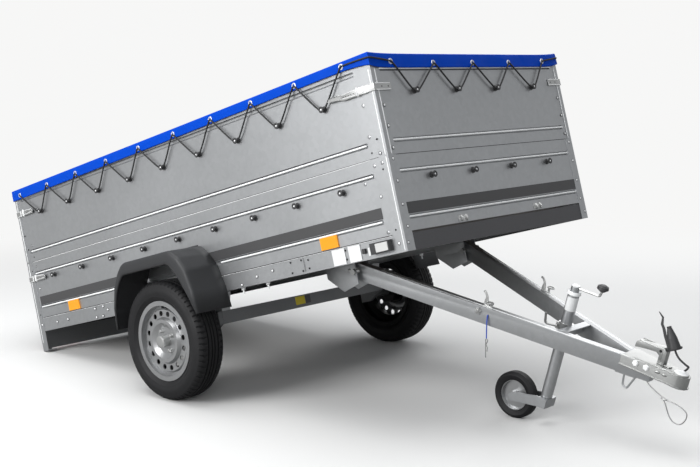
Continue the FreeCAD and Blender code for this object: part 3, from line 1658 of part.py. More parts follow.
def jockeyAxle():
    body = newBody("JockeyAxle")
    place = [("standX - forkTrail", "-jockeyDrop", "jockeyAxle")]
    pad(body, "XZ", "-forkHalf + seat", "2 * forkHalf - 2 * seat", circles=place)
    return body


def jockeyRim():
    """The small pressed rim with its hub tube."""
    body = newBody("JockeyRim")
    half = "(jockeyWidth / 2)"
    revolve(
        body,
        [
            ("jockeyAxle + pinPlay", "-forkHalf + plate"),
            ("jockeyHub", "-forkHalf + plate"),
            ("jockeyHub", "-plate"),
            ("jockeyRim - plate", "-plate"),
            ("jockeyRim - plate", f"-{half} * 0.7"),
            ("jockeyRim", f"-{half} * 0.7"),
            ("jockeyRim", f"{half} * 0.7"),
            ("jockeyRim - plate", f"{half} * 0.7"),
            ("jockeyRim - plate", "plate"),
            ("jockeyHub", "plate"),
            ("jockeyHub", "forkHalf - plate"),
            ("jockeyAxle + pinPlay", "forkHalf - plate"),
        ],
    )
    return body


keep(jockeySleeve(), "jockey_sleeve", "drawbar")
keep(jockeyCrank(), "jockey_crank", "drawbar")
keep(crankKnob(), "crank_knob", "drawbar")
keep(jockeyLeg(), "jockey_leg", "drawbar")
keep(jockeyFork(), "jockey_fork", "drawbar")
keep(jockeyAxle(), "jockey_axle", "drawbar")
keep(jockeyRim(), "jockey_rim", "jockey")


def jockeyTyre():
    bead = ("jockeyRim + seat", "(jockeyWidth * 0.33)")
    flange = ("jockeyRim + jockeyWall", "(jockeyWidth * 0.42)")
    half = "(jockeyWidth * 0.36)"
    return tyre("jockeyRadius", "jockeyWidth", half, bead, flange, "jockeyWidth / 5", "jockeyWall")


keep(jockeyTyre(), "jockey_tyre", "jockey")


# The plug and the cords on the drawbar

plugPlace = placed(size("plugX"), 0, size("plugZ"), size("plugLean"))
# The rubber band's outline, in shares of the plug's rim and length.
bandShares = [
    (-1.085, 0.02), (-1.15, 0.65), (-1.07, 0.97), (-1.15, 1.15), (-0.7, 1.4), (-0.96, 1.67),
    (-0.85, 1.67), (-0.41, 1.41), (-0.74, 1.13), (-0.63, 0.92), (-0.7, 0.65), (-0.95, 0.13),
    (-1.02, 0.1), (-1.02, 0.02),
]
# The plug cable's way round the coupling's nose: ahead, aside and up.
noseShares = [(0.24, 0.13, 1.66), (0.37, 0.58, 1.52), (-0.21, 1.28, 0.88), (-0.84, 1.36, 0.36)]
# The eye of the safety cable, in shares of its length: ahead, aside and up.
eyeShares = [
    (0.52, 0.2, 0.04), (0.89, 0.4, -0.05), (0.98, 0.5, -0.2), (0.94, 0.6, -0.45),
    (0.79, 0.7, -0.64), (0.53, 0.8, -0.63), (0.32, 0.95, -0.47),
]
# The spring clip's wire: its eye and its waved leg.
clipShares = [(-0.5, -0.35), (0, 0), (0.9, -0.55), (0.3, -1.9), (-0.35, -3), (0.6, -4.4), (0.35, -6.5)]


def plugBody():
    """The plug: a rim at its wide end, a tapered body and a cap on its narrow end."""
    body = newBody("PlugBody")
    corners = [
        ("0", "0"),
        ("plugRim", "0"),
        ("plugRim", "plugRimHigh"),
        ("plugRim * 0.88", "plugRimHigh"),
        ("plugRim * 0.72", "plugLength / 2"),
        ("plugTip", "plugLength - plugTip"),
        ("plugStem", "plugLength - plugTip"),
        ("plugStem", "plugLength"),
        ("0", "plugLength"),
    ]
    revolve(body, corners)
    return body


def plugStrap():
    """The rubber band round the plug's rim, with its long tapered tail."""
    body = newBody("PlugStrap")
    ring = [("0", "0", "plugRim + seat + plugBand"), ("0", "0", "plugRim + seat")]
    pad(body, "XY", "plugBand", "plugBandHigh", circles=ring)
    tail = [(f"plugRim * {u}", f"plugLength * {v}") for u, v in bandShares]
    pad(body, "XZ", "-plugBand / 2", "plugBand", [tail])
    return body


def spots(place, corners):
    """Points of a frame of their own, as points of the drawbar."""
    there = [place.multVec(FreeCAD.Vector(*[size(value) for value in point])) for point in corners]
    return [tuple(round(value, 4) for value in point) for point in there]


def plugCable():
    """The free cable: out of the left arm, round behind the nose and up to the plug."""
    x = "glandX"
    leave = f"({outerFace(x)} + seat + plugCordRadius * 0.75)"
    beside = f"({outerFace('couplingRear')} + couplingWall + plugCordRadius * 2)"
    points = [
        (x, leave, "glandZ"),
        ("glandX + plugCordRadius * 4", f"{leave} + plugCordRadius * 1.5", "glandZ"),
        ("couplingRear", beside, "glandZ + plugCordRadius / 2"),
    ]
    points += [
        (f"ballX + noseRadius * {u}", f"noseRadius * {v}", f"couplingTop * {w}")
        for u, v, w in reversed(noseShares)
    ]
    points += spots(plugPlace, [("0", "0", "-plugLength * 0.3"), ("0", "0", "-seat")])
    return swept("PlugCable", points, "plugCordRadius")


def safetyCable():
    """The stiff steel cable that hangs beside the arm's end and closes in an eye."""
    high = "(-armHeight / 2 - seat - cableRadius * 4)"
    aside = "(cableRadius * 2 + seat)"
    neck = ("(cableX + cableRun)", "(-cableOff - cableSwing)", f"({high} - cableSink)")
    back = [neck[0], f"{neck[1]} - {aside}", neck[2]]
    points = [("cableX", "-cableOff", "-armHeight / 2 - seat"), ("cableX", "-cableOff", high), neck]
    points += [
        (f"{neck[0]} + cableEye * {u}", f"{neck[1]} - {aside} * {v}", f"{neck[2]} + cableEye * {w}")
        for u, v, w in eyeShares
    ]
    points += [
        (f"{back[0]} + cableRadius", back[1], back[2]),
        (f"{back[0]} - cableRadius * 4", f"{back[1]} + cableRadius / 2", f"{back[2]} + cableRadius"),
    ]
    return swept("SafetyCable", points, "cableRadius")


clipOutside = f"-({outerFace('clipX')} + strapRadius / 2)"
hangTurn = placed(0, 0, 0, -drawTilt)
strapTop = ("clipX", f"{clipOutside} - clipOut", "clipZ - strapRadius")
clipTop = spots(hangTurn, [("0", "0", "-strapLength")])[0]
clipSpot = FreeCAD.Vector(*[size(value) for value in strapTop]) + FreeCAD.Vector(*clipTop)
clipPlace = FreeCAD.Placement(clipSpot, hangTurn.Rotation)


def clipStrap():
    """The soft cord that carries the spring clip beside the right arm."""
    end = spots(clipPlace, [("0", "0", "-strapRadius / 4")])
    points = [("clipX", clipOutside, "clipZ"), strapTop, end[0]]
    return swept("ClipStrap", points, "strapRadius")


def lockClip():
    """The spring clip: a straight leg, an eye and a waved leg of one wire."""
    drop = "(-clipWire - seat)"
    points = [("-clipEye * 0.5", "0", f"{drop} - clipLength")]
    points += [(f"clipEye * {u}", "0", f"{drop} + clipEye * {v}") for u, v in clipShares]
    return swept("LockClip", points, "clipWire", "clipEye / 2")


keep(gathered("trailer_plug", [plugBody(), plugStrap()]), "trailer_plug", "plug")
keep(plugCable(), "plug_cable", "drawbar")
keep(safetyCable(), "safety_cable", "drawbar")
keep(clipStrap(), "clip_strap", "drawbar")
keep(lockClip(), "lock_clip", "clip")

# The finished pieces take their places and are checked and written.

document.recompute()
frames = {
    "bed": bedFrame,
    "drawbar": drawFrame,
    "jockey": jockeyPlace * upright[-1],
    "plug": drawFrame * plugPlace,
    "clip": drawFrame * clipPlace,
    "wheel_right": wheelPlaces[-1] * upright[-1],
    "wheel_left": wheelPlaces[1] * upright[1],
}


def furthest(shapes):
    box = FreeCAD.BoundBox()
    for shape in shapes:
        box.add(shape.optimalBoundingBox(False, False))
    return box


for item, label, frame in nodes:
    item.Placement = frames[frame]
whole = furthest([item.Shape for item, label, frame in nodes])
middle = FreeCAD.Placement(FreeCAD.Vector(-whole.Center.x, 0, 0), FreeCAD.Rotation())
for item, label, frame in nodes:
    item.Placement = middle * frames[frame]

faults = [
    thing.Name
    for thing in document.Objects
    if "Invalid" in thing.State or "Error" in thing.State
]
faults += [
    label
    for item, label, frame in nodes
    if item.Shape.isNull() or not item.Shape.isValid() or not item.Shape.Solids
]
if faults:
    raise RuntimeError("These did not build: " + ", ".join(faults))

os.makedirs("parts", exist_ok=True)
for item, label, frame in nodes:
    item.Shape.exportStep(f"parts/{label}.step")
    print(f"{label:22s} solids {len(item.Shape.Solids):2d}  volume {item.Shape.Volume / 1000:9.1f} cm3")

volume = sum(item.Shape.Volume for item, label, frame in nodes)
print("solid volume", round(volume / 1e9, 5), "m3")
print("box", whole)
for name, point in (
    ("wheel centre", axlePlace.Base),
    ("pivot line", pivotPoint),
    ("tailgate hinge", gateAxis),
    ("stand axis", drawFrame.multVec(FreeCAD.Vector(size("standX"), 0, 0))),
    ("jockey centre", jockeyPlace.Base),
    ("ball centre", drawFrame.multVec(FreeCAD.Vector(size("ballX"), 0, 0))),
):
    there = middle.multVec(point)
    print(f"{name}: {there.x:.4f} {there.y:.4f} {there.z:.4f}")
print(f"bed tilt {bedTilt:.5f}, drawbar tilt {drawTilt:.5f}")
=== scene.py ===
import json
import math

import bmesh
import bpy
from mathutils import Matrix, Vector


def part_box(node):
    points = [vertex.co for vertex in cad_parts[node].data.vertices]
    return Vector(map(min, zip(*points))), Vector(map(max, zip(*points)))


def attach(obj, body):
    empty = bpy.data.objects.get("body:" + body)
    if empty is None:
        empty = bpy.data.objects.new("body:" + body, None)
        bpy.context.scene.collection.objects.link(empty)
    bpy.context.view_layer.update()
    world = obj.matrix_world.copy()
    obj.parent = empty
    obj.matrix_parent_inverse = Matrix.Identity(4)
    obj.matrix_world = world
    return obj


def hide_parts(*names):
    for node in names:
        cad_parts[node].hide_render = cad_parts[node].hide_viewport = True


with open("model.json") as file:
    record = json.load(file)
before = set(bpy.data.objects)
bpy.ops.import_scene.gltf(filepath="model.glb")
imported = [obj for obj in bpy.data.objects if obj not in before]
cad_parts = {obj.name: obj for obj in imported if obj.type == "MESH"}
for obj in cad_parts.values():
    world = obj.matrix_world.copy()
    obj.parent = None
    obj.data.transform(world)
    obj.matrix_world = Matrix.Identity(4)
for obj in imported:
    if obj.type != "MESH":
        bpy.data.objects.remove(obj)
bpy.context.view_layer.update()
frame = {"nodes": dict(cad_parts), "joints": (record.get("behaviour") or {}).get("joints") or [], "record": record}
nodes = frame["nodes"]
joints = {joint["name"]: joint for joint in frame["joints"]}
mounts = {mount["name"]: mount for mount in frame["record"]["mounts"]}
slots = {entry["node"]: entry["material_slot"] for entry in frame["record"]["subparts"]}
bodyOf = {node: body for body, members in frame["record"]["behaviour"]["bodies"].items() for node in members}
sides = (-1, 1)
namedSides = ((-1, "right"), (1, "left"))
print("frame loaded:", len(nodes), "nodes")


# Places: the bed and the drawbar each have their own frame, as in the drawings

bedFacts = {"axleX": 1.276, "wheelDrop": 0.162, "wheelY": 0.748, "long": 2.66,
            "board": 0.6434, "post": 0.6452, "rail": 0.6454, "front": 2.6584, "frontPost": 2.6602}


def leaning(up, origin, anchor=(0, 0, 0)):  # z runs along up, and the point anchor lies at the origin
    zAxis = Vector(up).normalized()
    yAxis = Vector((0, 1, 0))
    turned = Matrix((yAxis.cross(zAxis), yAxis, zAxis)).transposed()
    return Matrix.Translation(Vector(origin) - turned @ Vector(anchor)) @ turned.to_4x4()


tyreLow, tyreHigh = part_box("tyre_right")
wheelCentre = (tyreLow + tyreHigh) / 2
bedFrame = leaning(mounts["load_floor"]["axis"], (wheelCentre.x, 0, wheelCentre.z),
                   (bedFacts["axleX"], 0, -bedFacts["wheelDrop"]))
drawbarFrame = leaning(joints["stand_clamp"]["axis"], joints["drawbar_tilt"]["pos_m"])


def placed(name, data):  # an object of the scene that carries this data
    piece = bpy.data.objects.new(name, data)
    bpy.context.scene.collection.objects.link(piece)
    return piece


# Camera

viewFacts = {"fromWheel": (4.0705, -3.9642, 1.4480), "turn": (82.190, 0.686, 42.695), "lens": 59.39,
             "sensor": 36}
camera = placed("camera", bpy.data.cameras.new("camera"))
camera.location = Vector((wheelCentre.x, 0, 0)) + Vector(viewFacts["fromWheel"])
camera.rotation_euler = [math.radians(angle) for angle in viewFacts["turn"]]
camera.data.lens = viewFacts["lens"]
camera.data.sensor_width = viewFacts["sensor"]
bpy.context.scene.camera = camera
bpy.context.scene.view_settings.view_transform = "Standard"


# Node tools

def feed(tree, socket, value):  # sets a value on a socket, or links another socket to it
    if isinstance(value, bpy.types.NodeSocket):
        tree.links.new(value, socket)
    else:
        socket.default_value = value


def addNode(tree, kind, settings=None, **inputs):  # a node with its settings and its named inputs
    node = tree.nodes.new(kind)
    for name, value in (settings or {}).items():
        setattr(node, name, value)
    for name, value in inputs.items():
        feed(tree, node.inputs[name.replace("_", " ")], value)
    return node


def maths(tree, operation, *values):
    node = addNode(tree, "ShaderNodeMath", {"operation": operation})
    for socket, value in zip(node.inputs, values):
        feed(tree, socket, value)
    return node.outputs[0]


def mixed(tree, share, first, second):
    node = addNode(tree, "ShaderNodeMix", {"data_type": "RGBA"})
    for socket, value in zip((node.inputs[0], node.inputs[6], node.inputs[7]), (share, first, second)):
        feed(tree, socket, value)
    return node.outputs[2]


def cameraOrGloss(tree, glossShare):  # 1 for what the camera sees, and a share of it for reflections
    rays = addNode(tree, "ShaderNodeLightPath").outputs
    gloss = maths(tree, "MULTIPLY", rays["Is Glossy Ray"], glossShare)
    return maths(tree, "MAXIMUM", rays["Is Camera Ray"], gloss), rays


def blended(tree, share, first, second, end):  # two shaders, mixed by a share into the end node
    blend = addNode(tree, "ShaderNodeMixShader", Fac=share)
    tree.links.new(first.outputs[0], blend.inputs[1])
    tree.links.new(second.outputs[0], blend.inputs[2])
    tree.links.new(blend.outputs[0], tree.nodes[end].inputs["Surface"])


# Lamps

lampAim = Vector((0, 0, 0.6))
lampFacts = {
    "overhead": {"place": (-0.6, -0.8, 6.6), "size": 6.0, "power": 350},
    "key": {"place": (-1.6, -7.6, 3.3), "size": 4.0, "power": 520},
    "rim": {"place": (-1.2, 6.9, 3.4), "size": 5.0, "power": 170},
    "fill": {"place": (6.2, -5.4, 3.8), "size": 3.0, "power": 120},
}
for name, facts in lampFacts.items():
    lamp = bpy.data.lights.new(name, "AREA")
    lamp.size = facts["size"]
    lamp.energy = facts["power"]
    holder = placed(name, lamp)
    holder.location = facts["place"]
    holder.rotation_euler = (lampAim - Vector(facts["place"])).to_track_quat("-Z", "Y").to_euler()

# Studio: a soft world, and a floor that runs into the pale background away from the trailer

studioFacts = {"pale": (0.93, 0.93, 0.925, 1), "soft": (0.9, 0.94, 1.0, 1), "strength": 0.28,
               "floor": (0.80, 0.80, 0.79, 1), "floorBounce": (0.34, 0.34, 0.335, 1), "roughness": 0.9,
               "wallGloss": 0.38, "floorGloss": 0.45, "fadeFrom": 2.4, "fadeTo": 6.0, "reach": 40}
world = bpy.data.worlds.new("studio")
world.use_nodes = True
bpy.context.scene.world = world
tree = world.node_tree
softLight = tree.nodes["Background"]
softLight.inputs["Color"].default_value = studioFacts["soft"]
softLight.inputs["Strength"].default_value = studioFacts["strength"]
paleWall = addNode(tree, "ShaderNodeBackground", Color=studioFacts["pale"], Strength=1.0)
seen, rays = cameraOrGloss(tree, studioFacts["wallGloss"])
seen = maths(tree, "MAXIMUM", seen, rays["Is Transmission Ray"])
blended(tree, seen, softLight, paleWall, "World Output")

floorMesh = bpy.data.meshes.new("studio_floor")
reach = studioFacts["reach"]
floorMesh.from_pydata([(-reach, -reach, 0), (reach, -reach, 0), (reach, reach, 0), (-reach, reach, 0)],
                      [], [(0, 1, 2, 3)])
floor = placed("studio_floor", floorMesh)
floorFinish = bpy.data.materials.new("studio_floor")
floorFinish.use_nodes = True
tree = floorFinish.node_tree
floorShader = tree.nodes["Principled BSDF"]
floorShader.inputs["Roughness"].default_value = studioFacts["roughness"]
away = addNode(tree, "ShaderNodeVectorMath", {"operation": "LENGTH"})
tree.links.new(addNode(tree, "ShaderNodeTexCoord").outputs["Object"], away.inputs[0])
fade = addNode(tree, "ShaderNodeMapRange", {"interpolation_type": "SMOOTHSTEP"}, Value=away.outputs["Value"],
               From_Min=studioFacts["fadeFrom"], From_Max=studioFacts["fadeTo"])
seen, rays = cameraOrGloss(tree, studioFacts["floorGloss"])
tone = mixed(tree, rays["Is Camera Ray"], studioFacts["floorBounce"], studioFacts["floor"])
tree.links.new(tone, floorShader.inputs["Base Color"])
paleFloor = addNode(tree, "ShaderNodeEmission", Color=studioFacts["pale"], Strength=1.0)
seen = maths(tree, "MULTIPLY", fade.outputs["Result"], seen)
blended(tree, seen, floorShader, paleFloor, "Material Output")
floorMesh.materials.append(floorFinish)
print("camera and studio set")


# Shader groups shared by the finishes

def newGroup(name, inputs, outputs):  # a group with named sockets, and its two end nodes
    group = bpy.data.node_groups.new(name, "ShaderNodeTree")
    group.interface.new_socket("Vector", in_out="INPUT", socket_type="NodeSocketVector")
    for label, value in inputs.items():
        socket = group.interface.new_socket(label, in_out="INPUT", socket_type="NodeSocketFloat")
        socket.default_value = value
    for label in outputs:
        group.interface.new_socket(label, in_out="OUTPUT", socket_type="NodeSocketFloat")
    return group, group.nodes.new("NodeGroupInput").outputs, group.nodes.new("NodeGroupOutput").inputs


# Spangle: crystals of the zinc bath, with a slow cloud over them
spangle, given, result = newGroup("spangle", {"Scale": 60.0, "Cloud": 2.5}, ("Crystals", "Clouds"))
cells = addNode(spangle, "ShaderNodeTexVoronoi", Vector=given["Vector"], Scale=given["Scale"])
grey = addNode(spangle, "ShaderNodeRGBToBW", Color=cells.outputs["Color"])
clouds = addNode(spangle, "ShaderNodeTexNoise", Vector=given["Vector"], Scale=given["Cloud"], Detail=4.0)
spangle.links.new(grey.outputs[0], result["Crystals"])
spangle.links.new(clouds.outputs["Fac"], result["Clouds"])

# Grain: fine even roughness of moulded and rolled surfaces
grain, given, result = newGroup("grain", {"Scale": 400.0}, ("Fine", "Coarse"))
fine = addNode(grain, "ShaderNodeTexNoise", Vector=given["Vector"], Scale=given["Scale"], Detail=3.0)
coarse = addNode(grain, "ShaderNodeTexNoise", Vector=given["Vector"],
                 Scale=maths(grain, "MULTIPLY", given["Scale"], 0.04), Detail=5.0)
grain.links.new(fine.outputs["Fac"], result["Fine"])
grain.links.new(coarse.outputs["Fac"], result["Coarse"])

# Finishes: colour, roughness, metallic, scale of the texture, spread of the tone, strength of the relief
finishFacts = {
    "galvanised": ((0.44, 0.45, 0.46), 0.38, 0.85, 55, 0.08, 0.02),
    "zinc": ((0.50, 0.505, 0.50), 0.30, 0.9, 260, 0.14, 0.05),
    "hub_steel": ((0.50, 0.505, 0.50), 0.30, 0.9, 260, 0.14, 0.05),
    "pressed_zinc": ((0.33, 0.335, 0.33), 0.34, 0.85, 180, 0.30, 0.15),
    "rim_paint": ((0.40, 0.405, 0.41), 0.32, 0.85, 500, 0.05, 0.03),
    "small_rim": ((0.40, 0.405, 0.41), 0.32, 0.85, 500, 0.05, 0.03),
    "axle_steel": ((0.20, 0.205, 0.21), 0.5, 0.7, 250, 0.15, 0.1),
    # very dark: painted shade on the end sills and round the rivets and dimples; also used for the grey plate
    "shaded_steel": ((0.10, 0.10, 0.105), 0.5, 0.6, 250, 0.15, 0.05),
    "steel_cable": ((0.34, 0.34, 0.34), 0.4, 0.8, 800, 0.1, 0.2),
    "eyelet": ((0.72, 0.73, 0.74), 0.3, 0.6, 500, 0.05, 0.02),
    # near white and not metallic: painted highlights on the metal's folds, ridges, rims and small heads
    "painted_highlight": ((0.94, 0.95, 0.95), 0.35, 0.0, 300, 0.03, 0.01),
    "plywood": ((0.050, 0.034, 0.025), 0.55, 0.0, 120, 0.2, 0.1),
    "tarpaulin": ((0.0004, 0.060, 0.52), 0.44, 0.0, 500, 0.06, 0.1),
    "bungee": ((0.012, 0.012, 0.013), 0.7, 0.0, 900, 0.3, 0.4),
    "blue_cord": ((0.02, 0.07, 0.45), 0.7, 0.0, 900, 0.2, 0.4),
    "tyre_rubber": ((0.0085, 0.0085, 0.0095), 0.6, 0.0, 600, 0.2, 0.25),
    "guard": ((0.030, 0.031, 0.033), 0.5, 0.0, 700, 0.12, 0.2),
    "black_plastic": ((0.035, 0.035, 0.037), 0.5, 0.0, 700, 0.12, 0.2),
    "stripe": ((0.055, 0.055, 0.057), 0.4, 0.0, 300, 0.05, 0.02),
    # near black: dark joints, and painted shade in holes, slots and above the beads
    "hole": ((0.008, 0.008, 0.009), 0.8, 0.0, 300, 0.1, 0.0),
    "lamp_red": ((0.45, 0.01, 0.008), 0.15, 0.0, 90, 0.08, 0.02),
    "lamp_amber": ((0.95, 0.36, 0.01), 0.2, 0.0, 90, 0.05, 0.02),
    "lamp_clear": ((0.62, 0.62, 0.61), 0.15, 0.0, 90, 0.03, 0.02),
    "blank_label": ((0.82, 0.83, 0.83), 0.35, 0.0, 200, 0.03, 0.01),
    "yellow_label": ((0.90, 0.72, 0.03), 0.4, 0.0, 200, 0.03, 0.01),
}
dullFacts = {"tarpaulin": 0.06, "tyre_rubber": 0.3, "guard": 0.35}  # surfaces that reflect less
crystalFinishes = ("galvanised",)
reliefDepth = 0.0005


def finish(name, colour, roughness, metallic, scale, spread, bump):
    material = bpy.data.materials.new(name)
    material.use_nodes = True
    tree = material.node_tree
    shader = tree.nodes["Principled BSDF"]
    shader.inputs["Metallic"].default_value = metallic
    if name in dullFacts:
        shader.inputs["Specular IOR Level"].default_value = dullFacts[name]
    texture = spangle if name in crystalFinishes else grain
    group = addNode(tree, "ShaderNodeGroup", {"node_tree": texture}, Scale=scale,
                    Vector=addNode(tree, "ShaderNodeTexCoord").outputs["Object"])
    small, large = group.outputs
    dark = (*[channel * (1 - spread) for channel in colour], 1)
    light = (*[min(1, channel * (1 + spread)) for channel in colour], 1)
    share = maths(tree, "MULTIPLY", maths(tree, "ADD", small, large), 0.5)
    tree.links.new(mixed(tree, share, dark, light), shader.inputs["Base Color"])
    gloss = maths(tree, "MULTIPLY_ADD", large, roughness * 0.4, roughness * 0.8)
    tree.links.new(gloss, shader.inputs["Roughness"])
    relief = addNode(tree, "ShaderNodeBump", Height=small, Strength=bump, Distance=reliefDepth)
    tree.links.new(relief.outputs["Normal"], shader.inputs["Normal"])
    return material


finishes = {name: finish(name, *facts) for name, facts in finishFacts.items()}

creaseFacts = {"warpScale": 2.2, "warp": (0.35, 0.35, 0.35), "scale": 4.5, "strength": 0.6, "depth": 0.012}


def creased(material):  # soft folds of a coated sheet, under its fine relief
    tree = material.node_tree
    relief = tree.nodes["Principled BSDF"].inputs["Normal"].links[0].from_node
    place = addNode(tree, "ShaderNodeTexCoord").outputs["Object"]
    warp = addNode(tree, "ShaderNodeTexNoise", Vector=place, Scale=creaseFacts["warpScale"], Detail=3.0)
    moved = addNode(tree, "ShaderNodeVectorMath", {"operation": "MULTIPLY_ADD"})
    for socket, value in zip(moved.inputs, (warp.outputs["Color"], creaseFacts["warp"], place)):
        feed(tree, socket, value)
    folds = addNode(tree, "ShaderNodeTexVoronoi", {"feature": "F2"}, Vector=moved.outputs[0],
                    Scale=creaseFacts["scale"])
    large = addNode(tree, "ShaderNodeBump", Height=folds.outputs["Distance"],
                    Strength=creaseFacts["strength"], Distance=creaseFacts["depth"])
    tree.links.new(large.outputs["Normal"], relief.inputs["Normal"])


def paintedShadeInside(material, reach, share):  # nearer the middle than reach, a wheel's colour is scaled down by share: painted shade inside the wheel
    tree = material.node_tree
    shader = tree.nodes["Principled BSDF"]
    colour = shader.inputs["Base Color"].links[0].from_socket
    place = addNode(tree, "ShaderNodeTexCoord").outputs["Object"]
    across = addNode(tree, "ShaderNodeSeparateXYZ", Vector=place).outputs["Y"]
    outside = maths(tree, "GREATER_THAN", maths(tree, "ABSOLUTE", across), reach)
    scaled = addNode(tree, "ShaderNodeVectorMath", {"operation": "SCALE"},
                     Scale=maths(tree, "MULTIPLY_ADD", outside, 1 - share, share))
    tree.links.new(colour, scaled.inputs[0])
    tree.links.new(scaled.outputs[0], shader.inputs["Base Color"])


creased(finishes["tarpaulin"])
# Painted shade inside the wheels: rim and hub go dark inboard of these reaches; small_rim is the same rim finish
# without it, for the jockey wheel
paintedShadeReach = {"rim_paint": 0.7825, "hub_steel": 0.7890}
for name, reach in paintedShadeReach.items():
    paintedShadeInside(finishes[name], reach, 0.04)
# The end sills take shaded_steel, as painted shade
otherLooks = {"hub_right": "hub_steel", "hub_left": "hub_steel", "jockey_rim": "small_rim",
              "end_sills": "shaded_steel", "lock_clip": "steel_cable", "cable_hoop": "galvanised",
              "coupling_head": "pressed_zinc", "coupling_handle": "pressed_zinc"}
looks = {node: otherLooks.get(node, slots[node]) for node in nodes}
for name, piece in nodes.items():
    piece.data.materials.clear()
    piece.data.materials.append(finishes[looks[name]])
print("finishes ready:", len(finishes))


# Mesh tools

def skinned(bm, rings, closed=True):  # faces from each ring of vertices to the next; one vertex is a pole
    for first, second in zip(rings, rings[1:]):
        count = max(len(first), len(second))
        for n in range(count if closed else count - 1):
            after = (n + 1) % count
            corners = [ring[place % len(ring)]
                       for ring, place in ((first, n), (first, after), (second, after), (second, n))]
            bm.faces.new(list(dict.fromkeys(corners)))


def prism(bm, corners, start, end, across="z"):  # the corners' two numbers are the other axes in order
    order = {"z": (0, 1, 2), "y": (0, 2, 1), "x": (2, 0, 1)}[across]
    low, high = [[bm.verts.new([(u, v, level)[place] for place in order]) for u, v in corners]
                 for level in sorted((start, end))]
    bm.faces.new(low)
    bm.faces.new(high[::-1])
    skinned(bm, [high, low])
    return bm


def rectangle(u0, u1, v0, v1):
    return [(u0, v0), (u1, v0), (u1, v1), (u0, v1)]


def lathe(bm, profile, steps, closed=False):  # turns (radius, height), from the top down the outside
    angles = [2 * math.pi * n / steps for n in range(steps)]
    rings = [[bm.verts.new((radius * math.cos(a), radius * math.sin(a), height))
              for a in (angles if radius > 0 else angles[:1])] for radius, height in profile]
    skinned(bm, (rings + rings[:1] if closed else rings)[::-1])
    return bm


def eased(bm, width, segments=2, sharper=32):  # bevels the edges that turn by more than an angle
    bmesh.ops.recalc_face_normals(bm, faces=bm.faces)
    limit = math.radians(sharper)
    edges = [edge for edge in bm.edges if edge.is_manifold and edge.calc_face_angle(0) > limit]
    bmesh.ops.bevel(bm, geom=edges, offset=width, segments=segments, affect="EDGES", profile=0.7,
                    clamp_overlap=True)
    return bm


def roll(bm, start, end, across, out, wide, high):  # a low half-round ridge, tapered at both ends
    begin, finish, across, out = [Vector(value) for value in (start, end, across, out)]
    lead = min(0.3, 0.006 / (finish - begin).length)
    outline = [(-0.5, -0.3), (-0.5, 0.0), (-0.36, 0.6), (0.0, 1.0), (0.36, 0.6), (0.5, 0.0), (0.5, -0.3)]
    stations = [(0, 0.15), (lead * 0.4, 0.7), (lead, 1.0), (1 - lead, 1.0), (1 - lead * 0.4, 0.7), (1, 0.15)]
    rings = [[bm.verts.new(begin.lerp(finish, share) + across * (u * wide * scale) + out * (v * high * scale))
              for u, v in outline] for share, scale in stations]
    skinned(bm, rings)
    bm.faces.new(rings[0][::-1])
    bm.faces.new(rings[-1])


def sideRoll(bm, side, start, end, wide, high):  # a ridge on a side wall, from one (x, out, z) to another
    lying = abs(end[0] - start[0]) > abs(end[2] - start[2])
    begin, finish = [(x, side * out, z) for x, out, z in (start, end)]
    roll(bm, begin, finish, (0, 0, 1) if lying else (1, 0, 0), (0, side, 0), wide, high)


def frontRoll(bm, start, end, wide, high):  # a ridge on the front wall
    lying = abs(end[1] - start[1]) > abs(end[2] - start[2])
    roll(bm, start, end, (0, 0, 1) if lying else (0, 1, 0), (1, 0, 0), wide, high)


# Pieces: each with its finish and its body

def adopted(piece, look, body, replaced=()):
    piece.data.materials.clear()
    piece.data.materials.append(finishes[look])
    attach(piece, body)
    if replaced:
        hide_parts(*replaced)
    return piece


def meshOf(name, bm, place=None, smooth=40):  # the bmesh as a mesh at its place, smooth below an angle
    if all(edge.is_manifold for edge in bm.edges):
        bmesh.ops.recalc_face_normals(bm, faces=bm.faces)
    if place is not None:
        bm.transform(place)
    mesh = bpy.data.meshes.new(name)
    bm.to_mesh(mesh)
    bm.free()
    mesh.shade_smooth()
    mesh.set_sharp_from_angle(angle=math.radians(smooth))
    return mesh


def formed(name, bm, look, body, place=None, smooth=40, replaced=()):
    place = place or (bedFrame if body == "bed" else drawbarFrame)
    return adopted(placed(name, meshOf(name, bm, place, smooth)), look, body, replaced)


def softened(node, width, rimWidth=0.0, onRim=None):  # the node's own form with its edges eased
    bm = bmesh.new()
    bm.from_mesh(nodes[node].data)
    bmesh.ops.remove_doubles(bm, verts=bm.verts, dist=1e-6)
    bmesh.ops.dissolve_limit(bm, angle_limit=math.radians(1), verts=bm.verts, edges=bm.edges)
    if onRim:
        rims = [edge for edge in bm.edges if edge.is_manifold and edge.calc_face_angle(0) > 0.5
                and all(onRim(vert.co) for vert in edge.verts)]
        bmesh.ops.bevel(bm, geom=rims, offset=rimWidth, segments=4, affect="EDGES", profile=0.5,
                        clamp_overlap=True)
    piece = placed(node + "_form", meshOf(node + "_form", eased(bm, width)))
    adopted(piece, looks[node], bodyOf[node], [node])


# Geometry nodes: one piece set on many spots, each with its own turn

